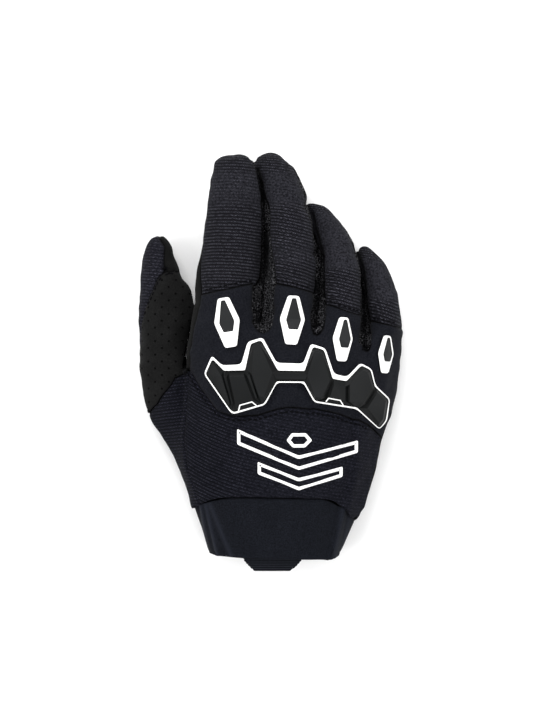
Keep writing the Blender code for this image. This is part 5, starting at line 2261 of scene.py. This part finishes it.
@dataclass
class Cuff:
    """The neoprene cuff and its pull tab.

    Attributes:
        finishes: The materials, by name.
        levels: The cuff's subdivisions.
        flat: Width, length and area that the cuff was cut to; they are not used.
        tab_flat: The same of the tab; they are not used.
        tab_spread: How much wider the tab is than its solid.
        tab_taper: How much wider still it gets towards its end.
        tab_shift: How far it is eased to the photograph's place.
        rib: From one of the tab's ribs to the next.
        rib_height: Their height.
        roll: How far the cuff's edge is rolled in.
    """

    finishes: dict[str, bpy.types.Material]
    levels: int = 3
    flat: tuple[float, float, float] = (0.19, 0.034, 0.0058)
    tab_flat: tuple[float, float, float] = (0.030, 0.0136, 0.00037)
    tab_spread: float = 1.06
    tab_taper: float = 0.08
    tab_shift: float = 0.0006
    rib: float = 0.0012
    rib_height: float = 0.00010
    roll: float = 0.00035

    # A distance from the nearest seam at which its painted shade doesn't show, in millimetres
    SEAMLESS = 9.0

    # Each fold's place in the photograph, lean, half width in pixels and depth in millimetres
    FOLDS = (
        (203, 530, 0.16, 1.6, 0.7), (210, 530, 0.24, 1.8, 0.8), (218, 528, 0.42, 2.6, 0.6),
        (334, 530, -0.16, 2.4, 0.4), (344, 524, -0.22, 2.0, 0.4),
    )

    @staticmethod
    def smooth_copy(node: str, name: str, levels: int, crease: float, sharp: float) -> bpy.types.Object:
        """Subdivides a copy of a CAD node's shape.

        Args:
            node: The node's name.
            name: The copy's name.
            levels: The subdivisions.
            crease: How much of its sharp edges stays sharp.
            sharp: How far an edge has to turn to be one, in degrees.

        Returns:
            The smooth copy.
        """
        shape = merged_copy(node)
        bmesh.ops.join_triangles(
            shape, faces=list(shape.faces),
            angle_face_threshold=math.radians(40), angle_shape_threshold=math.pi,
        )
        layer = shape.edges.layers.float.new("crease_edge")
        for edge in shape.edges:
            if len(edge.link_faces) == 2 and edge.calc_face_angle() > math.radians(sharp):
                edge[layer] = crease
        mesh = bpy.data.meshes.new(name)
        shape.to_mesh(mesh)
        shape.free()
        return applied(shown(name, mesh), "SUBSURF", levels=levels, render_levels=levels)

    def cuff(self) -> tuple[bpy.types.Object, np.ndarray]:
        """Makes the cuff with its soft upright wrinkles.

        Returns:
            The cuff, and how much painted highlight each of its points takes beside a fold.
        """
        piece = self.smooth_copy("cuff", "cuff_sleeve", self.levels, 0.7, 60.0)
        mesh = piece.data
        points, out = coordinates(mesh), normals_of(mesh)
        moved, crest_highlight = np.zeros(len(points)), np.zeros(len(points))
        upper = ramp(points[:, 2], 0.012, 0.010)
        for x, y, lean, width, depth in self.FOLDS:
            at_x, at_y = at_pixel(x, y)
            near = (points[:, 0] - at_x + (points[:, 1] - at_y) * lean) / (width * PIXEL)
            moved += depth * MILLIMETRE * np.exp(-near ** 2) * upper
            # Painted highlight along one side of each fold
            crest_highlight += depth * 0.45 * np.exp(-(near - 1.5) ** 2) * upper
        roll = self.roll * bell(points[:, 1] - points[:, 1].min() - 0.0035, 0.0009)
        outward = np.sign((points[:, 2] - 0.019) * out[:, 2] + points[:, 0] * out[:, 0])
        points += out * ((-moved - roll) * outward * (1 - np.abs(out[:, 1])))[:, None]
        points[:, 2] = np.maximum(points[:, 2], 0.0)
        mesh.vertices.foreach_set("co", points.ravel())
        return piece, np.clip(crest_highlight, 0.0, 1.0)

    def tab(self) -> bpy.types.Object:
        """Makes the ribbed tab.

        Returns:
            The piece.
        """
        tab = self.smooth_copy("pull_tab", "tab_loop", 4, 0.93, 12.0)
        points, out = coordinates(tab.data), normals_of(tab.data)
        points += out * (self.rib_height * np.sin(points[:, 1] * math.tau / self.rib))[:, None]
        middle = (points[:, 0].min() + points[:, 0].max()) / 2
        top, low = points[:, 1].max(), points[:, 1].min()
        down = (top - points[:, 1]) / (top - low)
        wider = self.tab_spread + self.tab_taper * down
        points[:, 0] = middle + (points[:, 0] - middle) * wider - self.tab_shift * (1 + 2 * down)
        points[:, 1] += 2 * self.tab_shift
        tab.data.vertices.foreach_set("co", points.ravel())
        return tab

    def build(self) -> list[bpy.types.Object]:
        """Makes the cuff and the tab.

        Returns:
            Both pieces.
        """
        sleeve, crest_highlight = self.cuff()
        tab = self.tab()
        for piece, node, slot, flat in (
            (sleeve, "cuff", "neoprene", self.flat), (tab, "pull_tab", "tab_webbing", self.tab_flat)
        ):
            points = coordinates(piece.data)
            mapped(piece.data, ROWS_MAP, flat_map(points))
            fold_highlight = crest_highlight if piece is sleeve else np.zeros(len(points))
            mapped(piece.data, SEAMS_MAP, np.column_stack([np.full(len(points), self.SEAMLESS), fold_highlight]))
            piece.data.materials.clear()
            piece.data.materials.append(self.finishes[slot])
            piece.data.shade_smooth()
            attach(piece, "root")
            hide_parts(node)
        return [sleeve, tab]


@dataclass
class Studio:
    """The floor, the lights and the camera.

    Attributes:
        height: The camera's height over the floor.
        lens: Its focal length in millimetres.
        aim: The place that it looks straight down on.
    """

    height: float = CAMERA_HEIGHT
    lens: float = 149.0
    aim: Flat = CAMERA_AIM

    # Each lamp's name, place, size and power
    LAMPS = (
        ("key", (-0.25, 1.05, 1.00), 0.9, 14.0),
        ("left", (-1.05, -0.15, 0.95), 0.9, 7.5),
        ("right", (1.00, -0.30, 0.95), 0.9, 7.5),
    )

    def build(self) -> None:
        """Makes the studio."""
        bpy.ops.object.select_all(action="DESELECT")
        bpy.ops.mesh.primitive_plane_add(size=6.0, location=(0.0, 0.0, -0.0001))
        floor = bpy.context.view_layer.objects.active
        floor.name = "floor"
        graph = Graph("floor_paper", 0.9)
        floor.data.materials.append(graph.finish((0.97, 0.97, 0.97)))
        for name, place, size, power in self.LAMPS:
            light = bpy.data.lights.new(name, "AREA")
            light.size = size
            light.energy = power
            lamp = bpy.data.objects.new(name, light)
            lamp.location = place
            lamp.rotation_euler = (-Vector(place)).to_track_quat("-Z", "Y").to_euler()
            bpy.context.scene.collection.objects.link(lamp)
        bpy.context.scene.view_settings.view_transform = "Standard"
        world = bpy.data.worlds.new("studio")
        world.use_nodes = True
        world.node_tree.nodes["Background"].inputs["Color"].default_value = (1.0, 1.0, 1.0, 1.0)
        world.node_tree.nodes["Background"].inputs["Strength"].default_value = 0.95
        bpy.context.scene.world = world
        lens = bpy.data.cameras.new("camera")
        lens.lens = self.lens
        lens.clip_start = 0.05
        camera = bpy.data.objects.new("camera", lens)
        camera.location = (*self.aim, self.height)
        bpy.context.scene.collection.objects.link(camera)
        bpy.context.scene.camera = camera


def finishes() -> dict[str, bpy.types.Material]:
    """Makes every material of the glove, by name."""
    made = (
        RibbedCloth(),
        # Each ribbed cloth's crest colour is its painted rib highlight and its groove colour its painted rib
        # shade
        RibbedCloth("ribbed_thumb", crest_highlight=srgb(60, 60, 69), groove=srgb(9, 9, 14)),
        RibbedCloth("ribbed_hand", crest_highlight=srgb(46, 46, 56), groove=srgb(6, 7, 11)),
        KnitCloth("panel_cloth", srgb(28, 29, 34), srgb(7, 8, 13)),
        KnitCloth("neoprene", srgb(24, 26, 32), srgb(7, 8, 11), gauge=0.0005, relief=0.00006),
        MeshCloth(),
        Suede("suede"),
        Suede("perforated_suede", light=srgb(26, 26, 26), dark=srgb(9, 9, 9), across=0.0068),
        # Each moulded finish's second colour shows in pale patches and as a painted highlight on sharp edges
        Moulded("black_rubber", srgb(14, 15, 15), srgb(33, 34, 35), 0.40, gloss=0.055),
        Moulded("white_rubber", srgb(238, 238, 236), srgb(244, 244, 242), 0.5),
        Moulded("grey_rubber", srgb(23, 24, 25), srgb(38, 39, 40), 0.45),
        Moulded("white_ink", srgb(238, 238, 237), srgb(244, 244, 242), 0.6),
        Webbing("tab_webbing", srgb(38, 40, 46), srgb(7, 8, 12)),
        Webbing("thread", srgb(13, 13, 17), srgb(4, 4, 5), 0.0006),
    )
    return {kind.name: kind.make() for kind in made}


def main() -> None:
    """Builds the glove's looks round the CAD model."""
    palette = finishes()
    Studio().build()
    skin = Skin().build()
    pieces = Cloth(skin, palette).build()
    pieces.append(Stitches(skin, palette["thread"]).build())
    pieces += KnuckleGuard(skin, palette).build()
    for badge in BADGES:
        pieces += badge.build(skin, palette)
    pieces.append(ChevronPrint(skin, palette["white_ink"]).build())
    pieces += Cuff(palette).build()
    total = 0
    for piece in pieces:
        piece.data.calc_loop_triangles()
        count = len(piece.data.loop_triangles)
        total += count
        LOG.info("%s: %d triangles", piece.name, count)
    LOG.info("pieces: %d, triangles: %d", len(pieces), total)
    bpy.data.meshes.remove(skin.mesh)


if __name__ == "__main__":
    main()
